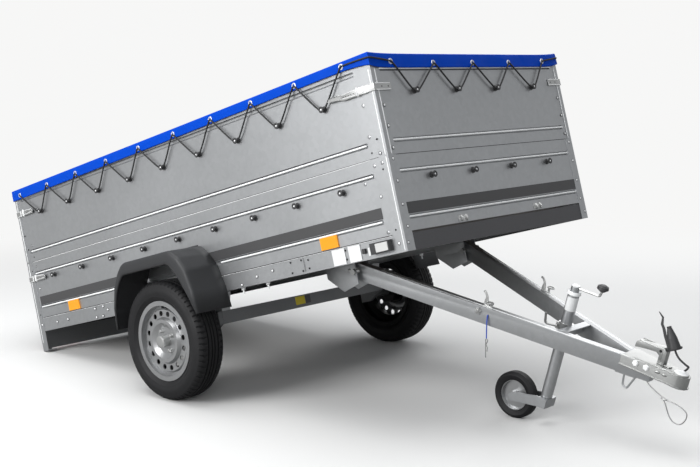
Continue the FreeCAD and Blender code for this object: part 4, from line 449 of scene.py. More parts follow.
repeatTree = bpy.data.node_groups.new("set on spots", "GeometryNodeTree")
repeatInputs = {"Spots": "Geometry", "Piece": "Object", "Finish": "Material", "Weld": "Float",
                "Jitter": "Float", "Seed": "Int"}
for label, kind in repeatInputs.items():
    repeatTree.interface.new_socket(label, in_out="INPUT", socket_type="NodeSocket" + kind)
repeatTree.interface.new_socket("Geometry", in_out="OUTPUT", socket_type="NodeSocketGeometry")
given = repeatTree.nodes.new("NodeGroupInput").outputs
turned = addNode(repeatTree, "GeometryNodeInputNamedAttribute", {"data_type": "FLOAT_VECTOR"}, Name="turn")
chance = addNode(repeatTree, "FunctionNodeRandomValue", {"data_type": "FLOAT"}, Seed=given["Seed"])
chance.inputs[2].default_value = -1
chance.inputs[3].default_value = 1
swing = maths(repeatTree, "MULTIPLY", chance.outputs[1], given["Jitter"])
spin = addNode(repeatTree, "ShaderNodeCombineXYZ", Z=swing)
base = addNode(repeatTree, "FunctionNodeEulerToRotation", Euler=turned.outputs["Attribute"])
extra = addNode(repeatTree, "FunctionNodeEulerToRotation", Euler=spin.outputs[0])
both = addNode(repeatTree, "FunctionNodeRotateRotation", {"rotation_space": "LOCAL"},
               Rotation=base.outputs[0], Rotate_By=extra.outputs[0])
source = addNode(repeatTree, "GeometryNodeObjectInfo", Object=given["Piece"])
setOn = addNode(repeatTree, "GeometryNodeInstanceOnPoints", Points=given["Spots"],
                Instance=source.outputs["Geometry"], Rotation=both.outputs[0])
real = addNode(repeatTree, "GeometryNodeRealizeInstances", Geometry=setOn.outputs[0])
weld = addNode(repeatTree, "GeometryNodeMergeByDistance", Geometry=real.outputs[0], Distance=given["Weld"])
dress = addNode(repeatTree, "GeometryNodeSetMaterial", Geometry=weld.outputs[0], Material=given["Finish"])
repeatTree.links.new(dress.outputs[0], repeatTree.nodes.new("NodeGroupOutput").inputs[0])
repeatSockets = {item.name: item.identifier for item in repeatTree.interface.items_tree}


def repeated(name, bm, spots, look, body, weld=0.0, jitter=0.0, smooth=40, replaced=()):
    proto = bpy.data.objects.new(name + "_one", meshOf(name + "_one", bm, None, smooth))
    places = bpy.data.meshes.new(name + "_spots")
    places.from_pydata([spot.to_translation() for spot in spots], [], [])
    turns = places.attributes.new("turn", "FLOAT_VECTOR", "POINT")
    for n, spot in enumerate(spots):
        turns.data[n].vector = spot.to_euler()
    holder = placed(name + "_spots", places)
    modifier = holder.modifiers.new("set on spots", "NODES")
    modifier.node_group = repeatTree
    values = {"Piece": proto, "Finish": finishes[look], "Weld": weld, "Jitter": jitter, "Seed": 7}
    for label, value in values.items():
        modifier[repeatSockets[label]] = value
    bpy.context.view_layer.update()
    graph = bpy.context.evaluated_depsgraph_get()
    mesh = bpy.data.meshes.new_from_object(holder.evaluated_get(graph))
    mesh.name = name
    holder.modifiers.clear()
    bpy.data.objects.remove(holder)
    bpy.data.objects.remove(proto)
    mesh.shade_smooth()
    mesh.set_sharp_from_angle(angle=math.radians(smooth))
    return adopted(placed(name, mesh), look, body, replaced)


def facing(place, normal, frameOf=bedFrame):  # a spot at a place whose z points along the normal
    turn = Vector(normal).to_track_quat("Z", "Y").to_matrix().to_4x4()
    return frameOf @ Matrix.Translation(Vector(place)) @ turn


def cordOf(name, points, radius, look, body, place, replaced):  # a round cord along one spline
    curve = bpy.data.curves.new(name, "CURVE")
    curve.dimensions = "3D"
    spline = curve.splines.new("NURBS")
    spline.points.add(len(points) - 1)
    for knot, point in zip(spline.points, points):
        knot.co = (*(place @ Vector(point)), 1)
    spline.order_u = 3
    spline.use_endpoint_u = True
    spline.resolution_u = 8
    curve.bevel_depth = radius
    curve.bevel_resolution = 4
    curve.use_fill_caps = True
    return adopted(placed(name, curve), look, body, replaced)


# Tyres: one pitch of the tread and carcass, set round the wheel

tyreFacts = {"pitches": 64, "rows": 8, "half": 0.0775, "lag": 0.35, "weld": 0.0002, "smooth": 28}
# Cuts of a pitch: from and to across, the radius they start above, from and to along, their depth.
tyreCuts = [(0.036, 0.064, 0.26, 0.25, 0.50, 0.0052), (0.012, 0.023, 0.27, 0.50, 0.63, 0.0035)]
# Half the outside: radius and distance from the middle, from the crown to the bead.
tyreHalf = [
    (0.2730, 0.0000), (0.2730, 0.0040), (0.2668, 0.0052), (0.2668, 0.0098), (0.2729, 0.0110),
    (0.2727, 0.0240), (0.2664, 0.0252), (0.2664, 0.0298), (0.2724, 0.0310), (0.2718, 0.0420),
    (0.2706, 0.0486), (0.2676, 0.0560), (0.2630, 0.0625), (0.2560, 0.0680), (0.2480, 0.0718),
    (0.2455, 0.0720), (0.2420, 0.0735), (0.2330, 0.0765), (0.2240, 0.0774), (0.2150, 0.0764),
    (0.2060, 0.0738), (0.2035, 0.0738), (0.2010, 0.0716), (0.1930, 0.0672), (0.1870, 0.0622),
    (0.1823, 0.0588), (0.1750, 0.0560), (0.1660, 0.0545),
]
tyreInside = [(0.1660, 0.0440), (0.2100, 0.0560), (0.2450, 0.0600), (0.2580, 0.0480), (0.2590, 0.0000)]
pitchAngle = 2 * math.pi / tyreFacts["pitches"]
wheelPlaces = {side: Matrix.Translation((wheelCentre.x, side * bedFacts["wheelY"], wheelCentre.z))
               for side in sides}


def tyrePitch():  # the section swept through one pitch, with its sipes and shoulder slots
    section = [(radius, -across) for radius, across in reversed(tyreHalf)] + tyreHalf[1:] + tyreInside
    section += [(radius, -across) for radius, across in reversed(tyreInside[:-1])]
    bm = bmesh.new()
    rings = []
    for row in range(tyreFacts["rows"] + 1):
        share = row / tyreFacts["rows"]
        ring = []
        for radius, across in section:
            aside = abs(across)
            along = (share + tyreFacts["lag"] * aside / tyreFacts["half"]) % 1.0
            far = radius - sum(deep for y0, y1, above, u0, u1, deep in tyreCuts
                               if y0 < aside < y1 and radius > above and u0 < along < u1)
            angle = share * pitchAngle
            ring.append(bm.verts.new((far * math.sin(angle), across, far * math.cos(angle))))
        rings.append(ring)
    skinned(bm, rings[::-1])
    return bm


for side, name in namedSides:
    spots = [wheelPlaces[side] @ Matrix.Rotation(n * pitchAngle, 4, "Y")
             for n in range(tyreFacts["pitches"])]
    repeated("tyre_tread_" + name, tyrePitch(), spots, "tyre_rubber", "wheel_" + name,
             weld=tyreFacts["weld"], smooth=tyreFacts["smooth"], replaced=["tyre_" + name])
print("tyres done")

# Wheel bolts and valves

wheelFacts = {
    "bolts": 4, "firstBolt": 35, "circle": 0.049, "face": 0.0459, "jitter": 0.6,
    "head": [(0, 0.015), (0.006, 0.015), (0.0095, 0.012), (0.0095, 0.003), (0.0125, 0.0025), (0.0125, 0.0)],
    "valve": [(0, 0.034), (0.0035, 0.034), (0.0042, 0.030), (0.0042, 0.018), (0.0032, 0.017),
              (0.0045, 0.004), (0.0055, 0.0)],
    "valveOut": 0.036, "valveUp": 0.1505, "valveLean": 1.35,
}
for side, name in namedSides:
    spots = []
    for n in range(wheelFacts["bolts"]):
        angle = math.radians(wheelFacts["firstBolt"]) + 2 * math.pi * n / wheelFacts["bolts"]
        place = (wheelFacts["circle"] * math.cos(angle), side * wheelFacts["face"],
                 wheelFacts["circle"] * math.sin(angle))
        turn = Matrix.Rotation(-side * math.pi / 2, 4, "X")
        spots.append(wheelPlaces[side] @ Matrix.Translation(place) @ turn)
    repeated("wheel_bolts_" + name, lathe(bmesh.new(), wheelFacts["head"], 6), spots, "zinc",
             "wheel_" + name, jitter=wheelFacts["jitter"])
    stem = Matrix.Translation((0, side * wheelFacts["valveOut"], wheelFacts["valveUp"]))
    lean = Matrix.Rotation(-side * wheelFacts["valveLean"], 4, "X")
    formed("valve_" + name, lathe(bmesh.new(), wheelFacts["valve"], 16), "tyre_rubber", "wheel_" + name,
           place=wheelPlaces[side] @ stem @ lean)
print("wheel fittings done")

# Mudguards: one moulded shell, lofted from the body's arch to the outer lip

guardFacts = {"inner": 0.6436, "outer": 0.8385, "wall": 0.004, "flange": 0.006, "top": 0.2265,
              "bend": {"inner": 0.072, "outer": 0.072, "mouth": 0.040}, "middle": (0.74, 0.2)}
# Each arch from the rear foot over the top to the front foot, from the wheel's axis in x.
guardArches = {
    "inner": [(-0.299, -0.071), (-0.292, 0.024), (-0.260, 0.125), (-0.221, 0.182), (-0.176, 0.2265),
              (0.000, 0.2265), (0.186, 0.2265), (0.233, 0.182), (0.274, 0.125), (0.302, 0.024),
              (0.3148, -0.071)],
    "outer": [(-0.299, -0.071), (-0.290, 0.030), (-0.256, 0.128), (-0.214, 0.186), (-0.168, 0.2260),
              (0.000, 0.2260), (0.190, 0.2255), (0.242, 0.184), (0.280, 0.125), (0.304, 0.024),
              (0.3148, -0.071)],
    "mouth": [(-0.288, -0.071), (-0.278, 0.020), (-0.246, 0.096), (-0.212, 0.140), (-0.178, 0.1680),
              (0.000, 0.1680), (0.160, 0.1670), (0.190, 0.134), (0.216, 0.098), (0.258, 0.020),
              (0.300, -0.071)],
}
# Sections outwards: between which arches, the share of the way, and the share of the width.
guardSections = [("inner", "outer", share, share) for share in (0, 0.25, 0.5, 0.75, 0.88)]
guardSections += [("outer", "mouth", share, reach) for share, reach in (
    (0.02, 0.955), (0.08, 0.980), (0.20, 0.994), (0.38, 1.0), (0.70, 1.0), (0.88, 0.996), (0.96, 0.980),
    (1.0, 0.950))]


def bentRun(points, radius, cuts=6):  # straight runs with an arc at each corner
    held = [Vector(point) for point in points]
    run = [held[0]]
    for before, corner, after in zip(held, held[1:], held[2:]):
        short = min((before - corner).length, (after - corner).length) / 2.05
        turn = math.pi - (before - corner).angle(after - corner)
        lead = min(short, radius * math.tan(turn / 2) if turn > 0.02 else short * 0.1)
        lead = max(lead, short * 0.1)
        start = corner + (before - corner).normalized() * lead
        end = corner + (after - corner).normalized() * lead
        for n in range(cuts + 1):
            share = n / cuts
            run.append(start.lerp(corner, share).lerp(corner.lerp(end, share), share))
    return run + [held[-1]]


def thickened(piece, label, thickness):  # a wall behind the faces
    wall = piece.modifiers.new(label, "SOLIDIFY")
    wall.thickness = thickness
    wall.offset = -1


arches = {key: bentRun(points, guardFacts["bend"][key]) for key, points in guardArches.items()}
for side, name in namedSides:
    bm = bmesh.new()
    rings = []
    for first, second, share, reach in guardSections:
        across = side * (guardFacts["inner"] + (guardFacts["outer"] - guardFacts["inner"]) * reach)
        run = [low.lerp(high, share) for low, high in zip(arches[first], arches[second])]
        rings.append([bm.verts.new((bedFacts["axleX"] + spot.x, across, spot.y)) for spot in run])
    top = [vert for vert in rings[0] if vert.co.z > guardFacts["top"] - 0.002]
    upper = [bm.verts.new(vert.co + Vector((0, 0, guardFacts["flange"]))) for vert in top]
    skinned(bm, rings, closed=False)
    skinned(bm, [top, upper], closed=False)
    bmesh.ops.recalc_face_normals(bm, faces=bm.faces)
    middle = Vector((bedFacts["axleX"], side * guardFacts["middle"][0], guardFacts["middle"][1]))
    roof = min(bm.faces, key=lambda face: (face.calc_center_median() - middle).length)
    if roof.normal.z < 0:
        bmesh.ops.reverse_faces(bm, faces=bm.faces)
    shell = placed("guard_shell", meshOf("guard_shell", bm, None, 50))
    thickened(shell, "wall", guardFacts["wall"])
    graph = bpy.context.evaluated_depsgraph_get()
    solid = bpy.data.meshes.new_from_object(shell.evaluated_get(graph))
    solid.name = "guard_shell_" + name
    solid.transform(bedFrame)
    bpy.data.objects.remove(shell)
    adopted(placed("guard_shell_" + name, solid), "guard", "bed", ["mudguard_" + name])
print("mudguards done")

# Stripes, blank labels and plates: thin films on the faces

filmFacts = {"thick": 0.0004, "tag": 0.0012, "plate": 0.0005, "beam": 1.396, "boxIn": 0.001, "boxOut": 0.008,
             "boxRound": 0.0015}
stripes = [[(0.062, 0.1405), (1.0265, 0.1405), (1.051, 0.1754), (1.061, 0.185), (0.062, 0.185)],
           [(1.502, 0.185), (1.5125, 0.1754), (1.5385, 0.1405), (2.57, 0.1405), (2.57, 0.185)]]
labels = [rectangle(2.263, 2.334, 0.003, 0.067), rectangle(2.355, 2.421, 0.003, 0.067)]
board, post, rail, front = [bedFacts[key] for key in ("board", "post", "rail", "front")]
stripeForm, labelForm, boxForm = bmesh.new(), bmesh.new(), bmesh.new()
for side in sides:
    for outline in stripes:
        prism(stripeForm, outline, side * board, side * (board + filmFacts["thick"]), "y")
    prism(labelForm, rectangle(2.461, 2.472, 0.014, 0.046), side * rail,
          side * (rail + filmFacts["tag"]), "y")
    prism(boxForm, rectangle(2.434, 2.450, 0.026, 0.046), side * (rail - filmFacts["boxIn"]),
          side * (rail + filmFacts["boxOut"]), "y")
prism(stripeForm, rectangle(-0.596, 0.602, 0.1405, 0.186), front, front + filmFacts["thick"], "x")
for outline in labels:
    prism(labelForm, outline, -rail - filmFacts["thick"], -rail, "y")
formed("side_stripes", stripeForm, "stripe", "bed")
formed("blank_labels", labelForm, "blank_label", "bed")
formed("rail_boxes", eased(boxForm, filmFacts["boxRound"]), "black_plastic", "bed")
for name, y0, y1, look, slot in (("yellow_plate", -0.074, -0.010, "yellow_label", "lamp_amber"),
                                 ("grey_plate", -0.006, 0.028, "shaded_steel", "axle_steel")):
    plate = prism(bmesh.new(), rectangle(y0, y1, -0.128, -0.089), filmFacts["beam"],
                  filmFacts["beam"] + filmFacts["plate"], "x")
    formed(name, plate, look, "bed")
print("films done")

# Tarpaulin: a coated sheet with a little sag, its skirt, hem and eyelets

sheetFacts = {"halfY": 0.6512, "rear": -0.0062, "front": 2.6662, "sideTop": 0.7725, "frontTop": 0.7690,
              "topRise": 0.0040, "topReach": 0.10, "sideLow": 0.7165, "frontLow": 0.7095, "lowRise": 0.0085,
              "lowReach": 0.06, "round": 0.005, "corner": 0.86, "sag": 0.013, "thick": 0.0012,
              "columns": 108, "rows": 54}
# Ripples at the ties and slow waves: height, turns along x and y, and phase.
sheetRipples = [(0.0022, 46.2, 0.0, 0.8), (0.0016, 0.0, 47.8, 0.3)]
sheetWaves = [(0.0016, 7.1, 3.3, 0.0), (0.0012, 3.2, -9.0, 0.0)]


def nearFront(x, y, reach):  # how near a place is to the front edge, and how near to a front corner
    ahead = math.exp(-max(0.0, sheetFacts["front"] - x) / reach)
    return ahead, ahead * math.exp(-max(0.0, sheetFacts["halfY"] - abs(y)) / (reach * 0.6))


def sheetEdge(x, y):  # the cover's upper edge rises to the front corners, held up by the posts
    ahead, corner = nearFront(x, y, sheetFacts["topReach"])
    level = sheetFacts["sideTop"] + sheetFacts["topRise"] * (x / sheetFacts["front"]) ** 3
    return level + (sheetFacts["frontTop"] - level) * (ahead - corner)


def sheetLow(x, y):  # the skirt's lower edge, which the cord draws up more at the front
    ahead, corner = nearFront(x, y, sheetFacts["lowReach"])
    level = sheetFacts["sideLow"] + sheetFacts["lowRise"] * max(0.0, x)
    return level + (sheetFacts["frontLow"] - level) * (ahead - 0.5 * corner)


def waved(table, x, y):
    return sum(high * math.sin(x * alongX + y * alongY + phase) for high, alongX, alongY, phase in table)


def sheetTop(x, y):  # the cover sags between the boards and ripples at its ties
    along = (x - sheetFacts["rear"]) / (sheetFacts["front"] - sheetFacts["rear"])
    aside = (y + sheetFacts["halfY"]) / (2 * sheetFacts["halfY"])
    bowl = (16 * along * (1 - along) * aside * (1 - aside)) ** 0.6
    edge = min(along * 2.67, (1 - along) * 2.67, aside * 1.3, (1 - aside) * 1.3)
    fade = max(0.0, min(1.0, edge / 0.05)) * math.exp(-edge * 9)
    relief = waved(sheetRipples, x, y) * fade + (waved(sheetWaves, x, y) - sheetFacts["sag"]) * bowl
    return sheetEdge(x, y) + relief


def evenly(start, end, count):
    return [start + (end - start) * n / count for n in range(count + 1)]


bm = bmesh.new()
bend, halfY = sheetFacts["round"], sheetFacts["halfY"]
ys = evenly(-halfY + bend, halfY - bend, sheetFacts["rows"])
grid = [[bm.verts.new((x, y, sheetTop(x, y))) for y in ys]
        for x in evenly(sheetFacts["rear"] + bend, sheetFacts["front"] - bend, sheetFacts["columns"])]
# The rim runs once round the top, and each lower ring copies it outwards and down.
rim = [(column[0], (0, -1)) for column in grid] + [(vert, (1, 0)) for vert in grid[-1][1:-1]]
rim += [(column[-1], (0, 1)) for column in reversed(grid)]
rim += [(vert, (-1, 0)) for vert in reversed(grid[0][1:-1])]
corners = {grid[0][0]: (-1, -1), grid[0][-1]: (-1, 1), grid[-1][0]: (1, -1), grid[-1][-1]: (1, 1)}
# How far each ring lies out and down from the rim, and its share of the skirt.
drops = ((0.42, 0.10), (0.75, 0.35), (0.95, 0.7), (1.0, 1.1))
levels = [(out * bend, down * bend, 0.0) for out, down in drops]
levels += [(bend + 0.0006, 0.0, 0.30), (bend + 0.0010, 0.0, 0.52), (bend + 0.0004, 0.0, 0.74),
           (bend + 0.0010, 0.0, 0.90), (bend + 0.0008, 0.0, 1.0)]
rings = [[vert for vert, normal in rim]]
for n, (out, drop, share) in enumerate(levels):
    ring = []
    for k, (vert, normal) in enumerate(rim):
        x, y, z = vert.co
        outX, outY = corners.get(vert, normal)
        reach = out * (sheetFacts["corner"] if vert in corners else 1.0)
        reach += 0.0012 * math.sin(k * 0.79) * max(0.0, n - 3) / 5
        upper = sheetEdge(x, y)
        level = upper - drop - share * (upper - sheetLow(x, y))
        ring.append(bm.verts.new((x + outX * reach, y + outY * reach, level)))
    rings.append(ring)
skinned(bm, grid, closed=False)
skinned(bm, rings)
bmesh.ops.recalc_face_normals(bm, faces=bm.faces)
if sum(face.normal.z for face in bm.faces) < 0:
    bmesh.ops.reverse_faces(bm, faces=bm.faces)
cover = formed("cover_sheet", bm, "tarpaulin", "bed", smooth=60, replaced=["tarpaulin"])
thickened(cover, "thickness", sheetFacts["thick"])

# Eyelets: turned metal rings through the skirt, with white washers

eyeFacts = {"out": 0.6526, "side": 0.7365, "rise": 0.0075, "front": 0.7310, "rear": 0.7365,
            "cornerRise": 0.0065, "frontX": 2.6676, "rearX": -0.0076,
            "ring": [(0.0062, -0.002), (0.0062, 0.0008), (0.0072, 0.0018), (0.0090, 0.0021),
                     (0.0112, 0.0016), (0.0122, 0.0002), (0.0122, -0.002)]}
sideEyes = [0.072 + 0.272 * n for n in range(10)]
sideHooks = [0.240 + 0.2675 * n for n in range(9)]
endEyes = [-0.526 + 0.263 * n for n in range(5)]
endHooks = [-0.410 + 0.273 * n for n in range(4)]


def eyeLevel(edge, u):  # the height of an eyelet on a side, the front or the rear
    if edge == "side":
        return eyeFacts["side"] + eyeFacts["rise"] * u
    return eyeFacts[edge] + (eyeFacts["cornerRise"] if edge == "front" and abs(u) > 0.5 else 0.0)


spots = [facing((x, side * eyeFacts["out"], eyeLevel("side", x)), (0, side, 0))
         for x in sideEyes for side in sides]
for y in endEyes:
    spots.append(facing((eyeFacts["frontX"], y, eyeLevel("front", y)), (1, 0, 0)))
    spots.append(facing((eyeFacts["rearX"], y, eyeLevel("rear", y)), (-1, 0, 0)))
eyelets = repeated("cover_eyelets", lathe(bmesh.new(), eyeFacts["ring"], 28, True), spots, "eyelet", "bed")
print("cover done")

# Shock cord: out of an eyelet, under a hook and up to the next one

cordFacts = {"radius": 0.0035, "under": 0.6122, "held": 0.6550, "skirt": 0.6558, "flat": 0.012,
             "lead": 0.010, "dip": 0.009}


def tieRoute(edge, eyes, hooks, place):
    points = []
    for n, eye in enumerate(eyes):
        level = eyeLevel(edge, eye)
        dipped = level - cordFacts["dip"]
        if n > 0:
            points.append(place(eye - cordFacts["lead"], cordFacts["skirt"], dipped))
        points.append(place(eye, cordFacts["skirt"], level))
        if n < len(hooks):
            points.append(place(eye + cordFacts["lead"], cordFacts["skirt"], dipped))
            for flat in (-cordFacts["flat"], cordFacts["flat"]):
                points.append(place(hooks[n] + flat, cordFacts["held"], cordFacts["under"]))
    return points


cordRoutes = {
    "tie_cord_right": tieRoute("side", sideEyes, sideHooks, lambda u, out, z: (u, -out, z)),
    "tie_cord_left": tieRoute("side", sideEyes, sideHooks, lambda u, out, z: (u, out, z)),
    "tie_cord_front": tieRoute("front", endEyes, endHooks, lambda u, out, z: (2.015 + out, u, z)),
    "tie_cord_rear": tieRoute("rear", endEyes, endHooks, lambda u, out, z: (0.645 - out, u, z)),
}
# At the front corners the cord runs on over the skirt, from the last side eyelet to the front one.
lastEye, firstEye = sideEyes[-1], abs(endEyes[0])
lastLevel, firstLevel = eyeLevel("side", lastEye), eyeLevel("front", firstEye)
cornerRoute = [(lastEye, 0.6550, lastLevel), (lastEye + 0.012, 0.6566, lastLevel + 0.002),
               (2.6450, 0.6566, 0.7545), (2.6630, 0.6562, 0.7535), (2.6712, 0.6470, 0.7525),
               (2.6716, 0.6280, 0.7505), (2.6716, firstEye + 0.012, firstLevel + 0.002),
               (2.6700, firstEye, firstLevel)]
for side, name in namedSides:
    cordRoutes["corner_cord_" + name] = [(x, side * y, z) for x, y, z in cornerRoute]
for name, points in cordRoutes.items():
    cordOf(name, points, cordFacts["radius"], "bungee", "bed", bedFrame, ["bungee_cord"])
print("shock cord done")

# Rope hooks: one moulded hook with its rivet, set along the boards

hookFacts = {
    "lift": 0.0045, "round": 0.0004, "sunk": 0.0001, "rear": 0.0017, "upper": 0.616, "lower": 0.2755,
    "hook": [(0, 0.0200), (0.0050, 0.0200), (0.0078, 0.0206), (0.0094, 0.0219), (0.0120, 0.0216),
             (0.0132, 0.0202), (0.0132, 0.0180), (0.0120, 0.0164), (0.0080, 0.0158), (0.0044, 0.0152),
             (0.0045, 0.0058), (0.0064, 0.0044), (0.0122, 0.0034), (0.0130, 0.0018), (0.0126, 0.0), (0, 0.0)],
    "rivet": [(0, 0.0216), (0.0022, 0.0214), (0.0036, 0.0207), (0.0039, 0.0198)],
}
lowerHooks = [0.2473 + 0.2678 * n for n in range(9)]
spots = []
for places, level in ((lowerHooks, hookFacts["lower"]), (sideHooks, hookFacts["upper"])):
    spots += [facing((x, side * (board - hookFacts["sunk"]), level), (0, side, 0))
              for x in places for side in sides]
    spots += [facing((front - hookFacts["sunk"], y, level), (1, 0, 0)) for y in endHooks]
spots += [facing((hookFacts["rear"], y, hookFacts["upper"]), (-1, 0, 0)) for y in endHooks]
lift = Matrix.Translation((0, hookFacts["lift"], 0))
hook = lathe(bmesh.new(), hookFacts["hook"], 22)
hook.transform(lift)
repeated("moulded_hooks", eased(hook, hookFacts["round"], 1, 60), spots, "black_plastic", "bed",
         replaced=["rope_hooks"])
rivet = lathe(bmesh.new(), hookFacts["rivet"], 14)
rivet.transform(lift)
# the rivet heads are white, as painted highlights
repeated("hook_rivets", rivet, spots, "painted_highlight", "bed")
print("rope hooks done:", len(spots))

# Rivets, dimples and holes of the walls, with a dark ring round the first two: white rivet heads are painted
# highlights, the holes flat black discs of painted shade, and the rings painted shadow

wallPlaces = {
    "rivets": [(0.184, 0.035), (0.289, 0.035), (0.549, 0.012), (0.607, 0.012), (0.549, 0.056), (0.657, 0.038),
               (0.620, 0.059), (1.687, 0.012), (1.792, 0.033), (1.897, 0.043), (2.581, 0.227), (2.625, 0.036),
               (0.079, 0.227), (0.035, 0.036)],
    "dimples": [(2.583, 0.460), (2.579, 0.347), (2.514, 0.289), (2.581, 0.086), (2.585, 0.583),
                (2.622, 0.388), (2.623, 0.351), (0.077, 0.460), (0.081, 0.347), (0.146, 0.289)],
    "holes": [(2.620, 0.444), (2.580, 0.398), (2.621, 0.326), (2.622, 0.089), (2.339, 0.056), (2.338, 0.019),
              (2.079, 0.058), (2.120, 0.053), (2.080, 0.013), (2.119, 0.018), (2.014, 0.058), (2.014, 0.014),
              (0.040, 0.444), (0.080, 0.398), (0.039, 0.326), (0.030, 0.520), (0.038, 0.089)],
}
frontRivets = [(0.606, 0.567), (0.607, 0.486), (0.605, 0.400), (0.620, 0.358), (0.620, 0.271), (0.619, 0.180),
               (0.616, 0.094), (0.631, 0.033)]
# Each with its profile, finish and slot
wallForms = {
    "rivets": ([(0, 0.0026), (0.0022, 0.0024), (0.0042, 0.0014), (0.0052, 0.0), (0.0052, -0.0004)],
               "painted_highlight", "zinc"),
    "dimples": ([(0, 0.0013), (0.0030, 0.0011), (0.0055, 0.0005), (0.0068, 0.0), (0.0068, -0.0004)],
                "galvanised", "galvanised"),
    "holes": ([(0, 0.0002), (0.0040, 0.0002), (0.0042, 0.0), (0.0042, -0.0004)], "hole", "black_plastic"),
    # dark rings under the rivets and dimples: their painted shadow
    "rings": ([(0, 0.00012), (0.0074, 0.00012), (0.0076, 0.0), (0.0076, -0.0004)], "shaded_steel",
              "galvanised"),
}


def faceOut(x, z):  # the outside of the side wall: posts and rails stand a little proud
    return post if z < 0.075 or x > 2.612 or x < 0.048 else board


wallSpots = {key: [facing((x, side * faceOut(x, z), z), (0, side, 0)) for x, z in places for side in sides]
             for key, places in wallPlaces.items()}
wallSpots["rivets"] += [facing((bedFacts["frontPost"], side * y, z), (1, 0, 0)) for y, z in frontRivets
                        for side in sides]
wallSpots["rings"] = wallSpots["rivets"] + wallSpots["dimples"]
for key, (profile, look, slot) in wallForms.items():
    repeated("wall_" + key, lathe(bmesh.new(), profile, 14), wallSpots[key], look, "bed", jitter=3.0)

# Folds and beads: the low rounded edges of the pressed sheets, painted white as the light they catch, and dark
# strips as their painted shadows

foldFacts = {"beads": (0.129, 0.310, 0.430, 0.712), "above": 0.0004, "wide": 0.0072, "high": 0.0024,
             "shade": 0.0078, "shadeWide": 0.0024, "shadeHigh": 0.0003, "sunk": 0.0002}
boardIn, postIn, frontIn = [face - foldFacts["sunk"] for face in (board, post, front)]
# Runs on each side wall: from (x, out, z) to the same, the width and the height.
foldHighlightRuns = [
    ((0.060, postIn, 0.0690), (2.600, postIn, 0.0690), 0.0016, 0.0008),
    ((0.062, boardIn, 0.3728), (2.562, boardIn, 0.3728), 0.0024, 0.0009),
    ((2.6475, 0.6449, 0.004), (2.6475, 0.6449, 0.371), 0.0045, 0.0013),
    ((2.6475, 0.6449, 0.377), (2.6475, 0.6449, 0.712), 0.0045, 0.0013),
    ((0.0125, 0.6449, -0.060), (0.0125, 0.6449, 0.371), 0.0045, 0.0013),
    ((0.0125, 0.6449, 0.377), (0.0125, 0.6449, 0.712), 0.0045, 0.0013),
]
# Dark lines along the rail's top edge and the board seams; the lines above the beads, added below, are painted
# shadow.
seamAndShadeRuns = [
    ((0.060, post, 0.0718), (2.600, post, 0.0718), 0.0026, 0.0003),
    ((0.050, board, 0.3752), (2.612, board, 0.3752), 0.0016, 0.0003),
    ((2.0945, 0.6453, 0.006), (2.0945, 0.6453, 0.0735), 0.0016, 0.0003),
]
folds, seamsAndShade = bmesh.new(), bmesh.new()
for level in foldFacts["beads"]:
    z, shade = level + foldFacts["above"], level + foldFacts["shade"]
    bead = foldFacts["wide"], foldFacts["high"]
    for x0, x1 in [(0.062, 0.975), (1.575, 2.562)] if level < 0.2 else [(0.062, 2.562)]:  # round the mudguard
        # a white strip along each bead's lower lip, its painted highlight
        if level < 0.7:
            foldHighlightRuns.append(((x0, boardIn, z), (x1, boardIn, z), *bead))
        # a dark strip just above each bead, the painted shadow of its groove
        seamAndShadeRuns.append(((x0, board, shade), (x1, board, shade), foldFacts["shadeWide"],
                         foldFacts["shadeHigh"]))
    frontRoll(folds, (frontIn, -0.594, z), (frontIn, 0.600, z), *bead)
for side in sides:
    for run in foldHighlightRuns:
        sideRoll(folds, side, *run)
    for run in seamAndShadeRuns:
        sideRoll(seamsAndShade, side, *run)
    frontRoll(folds, (2.6599, side * 0.6215, 0.377), (2.6599, side * 0.6215, 0.712), 0.0050, 0.0020)
frontRoll(seamsAndShade, (front, -0.612, 0.3742), (front, 0.612, 0.3742), 0.0022, 0.0003)
formed("sheet_folds", folds, "painted_highlight", "bed")
formed("board_seams", seamsAndShade, "hole", "bed")
print("rivets, folds and seams done")

# Bolts of the hinge brackets, and those that hang from the rail's flange with their nuts

boltFacts = {
    "bracket": [(0, 0.0066), (0.0066, 0.0066), (0.0080, 0.0056), (0.0080, 0.0018), (0.0105, 0.0016),
                (0.0105, 0.0)],
    "bracketY": 0.4192, "bracketPlaces": [(2.128, -0.021), (2.175, -0.028)], "bracketJitter": 0.8,
    "rail": [(0, 0.030), (0.0035, 0.030), (0.0040, 0.0285), (0.0040, 0.0125), (0.0085, 0.0120),
             (0.0092, 0.0110), (0.0092, 0.0050), (0.0085, 0.0042), (0.0110, 0.0038), (0.0110, 0.0)],
    "railY": 0.618, "railZ": 0.0018, "railPlaces": (1.660, 1.825), "railJitter": 1.0,
}
spots = [facing((x, side * boltFacts["bracketY"], z), (0, side, 0)) for side in sides
         for x, z in boltFacts["bracketPlaces"]]
repeated("bracket_bolts", lathe(bmesh.new(), boltFacts["bracket"], 6), spots, "zinc", "bed",
         jitter=boltFacts["bracketJitter"])
spots = [facing((x, side * boltFacts["railY"], boltFacts["railZ"]), (0, 0, -1))
         for x in boltFacts["railPlaces"] for side in sides]
# the rail bolts are white, as painted highlights
repeated("rail_bolts", lathe(bmesh.new(), boltFacts["rail"], 6), spots, "painted_highlight", "bed",
         jitter=boltFacts["railJitter"])
print("bolts done")

# Latches: rails, slots and hinge barrel on each pressed lever, a ridged strike round the front corners; ridges are
# white as painted highlights, slots dark as painted shade

latchFacts = {"face": 0.6494, "gripFrom": 0.160, "gripTo": 0.243, "gripOut": 0.0050, "gripThick": 0.0035,
              "strike": 2.6642, "strikeHole": 2.6645, "holeY": (0.566, 0.604)}
latches = [(0.0, 1, 0.285), (0.0, 1, 0.640), (bedFacts["long"], -1, 0.640)]
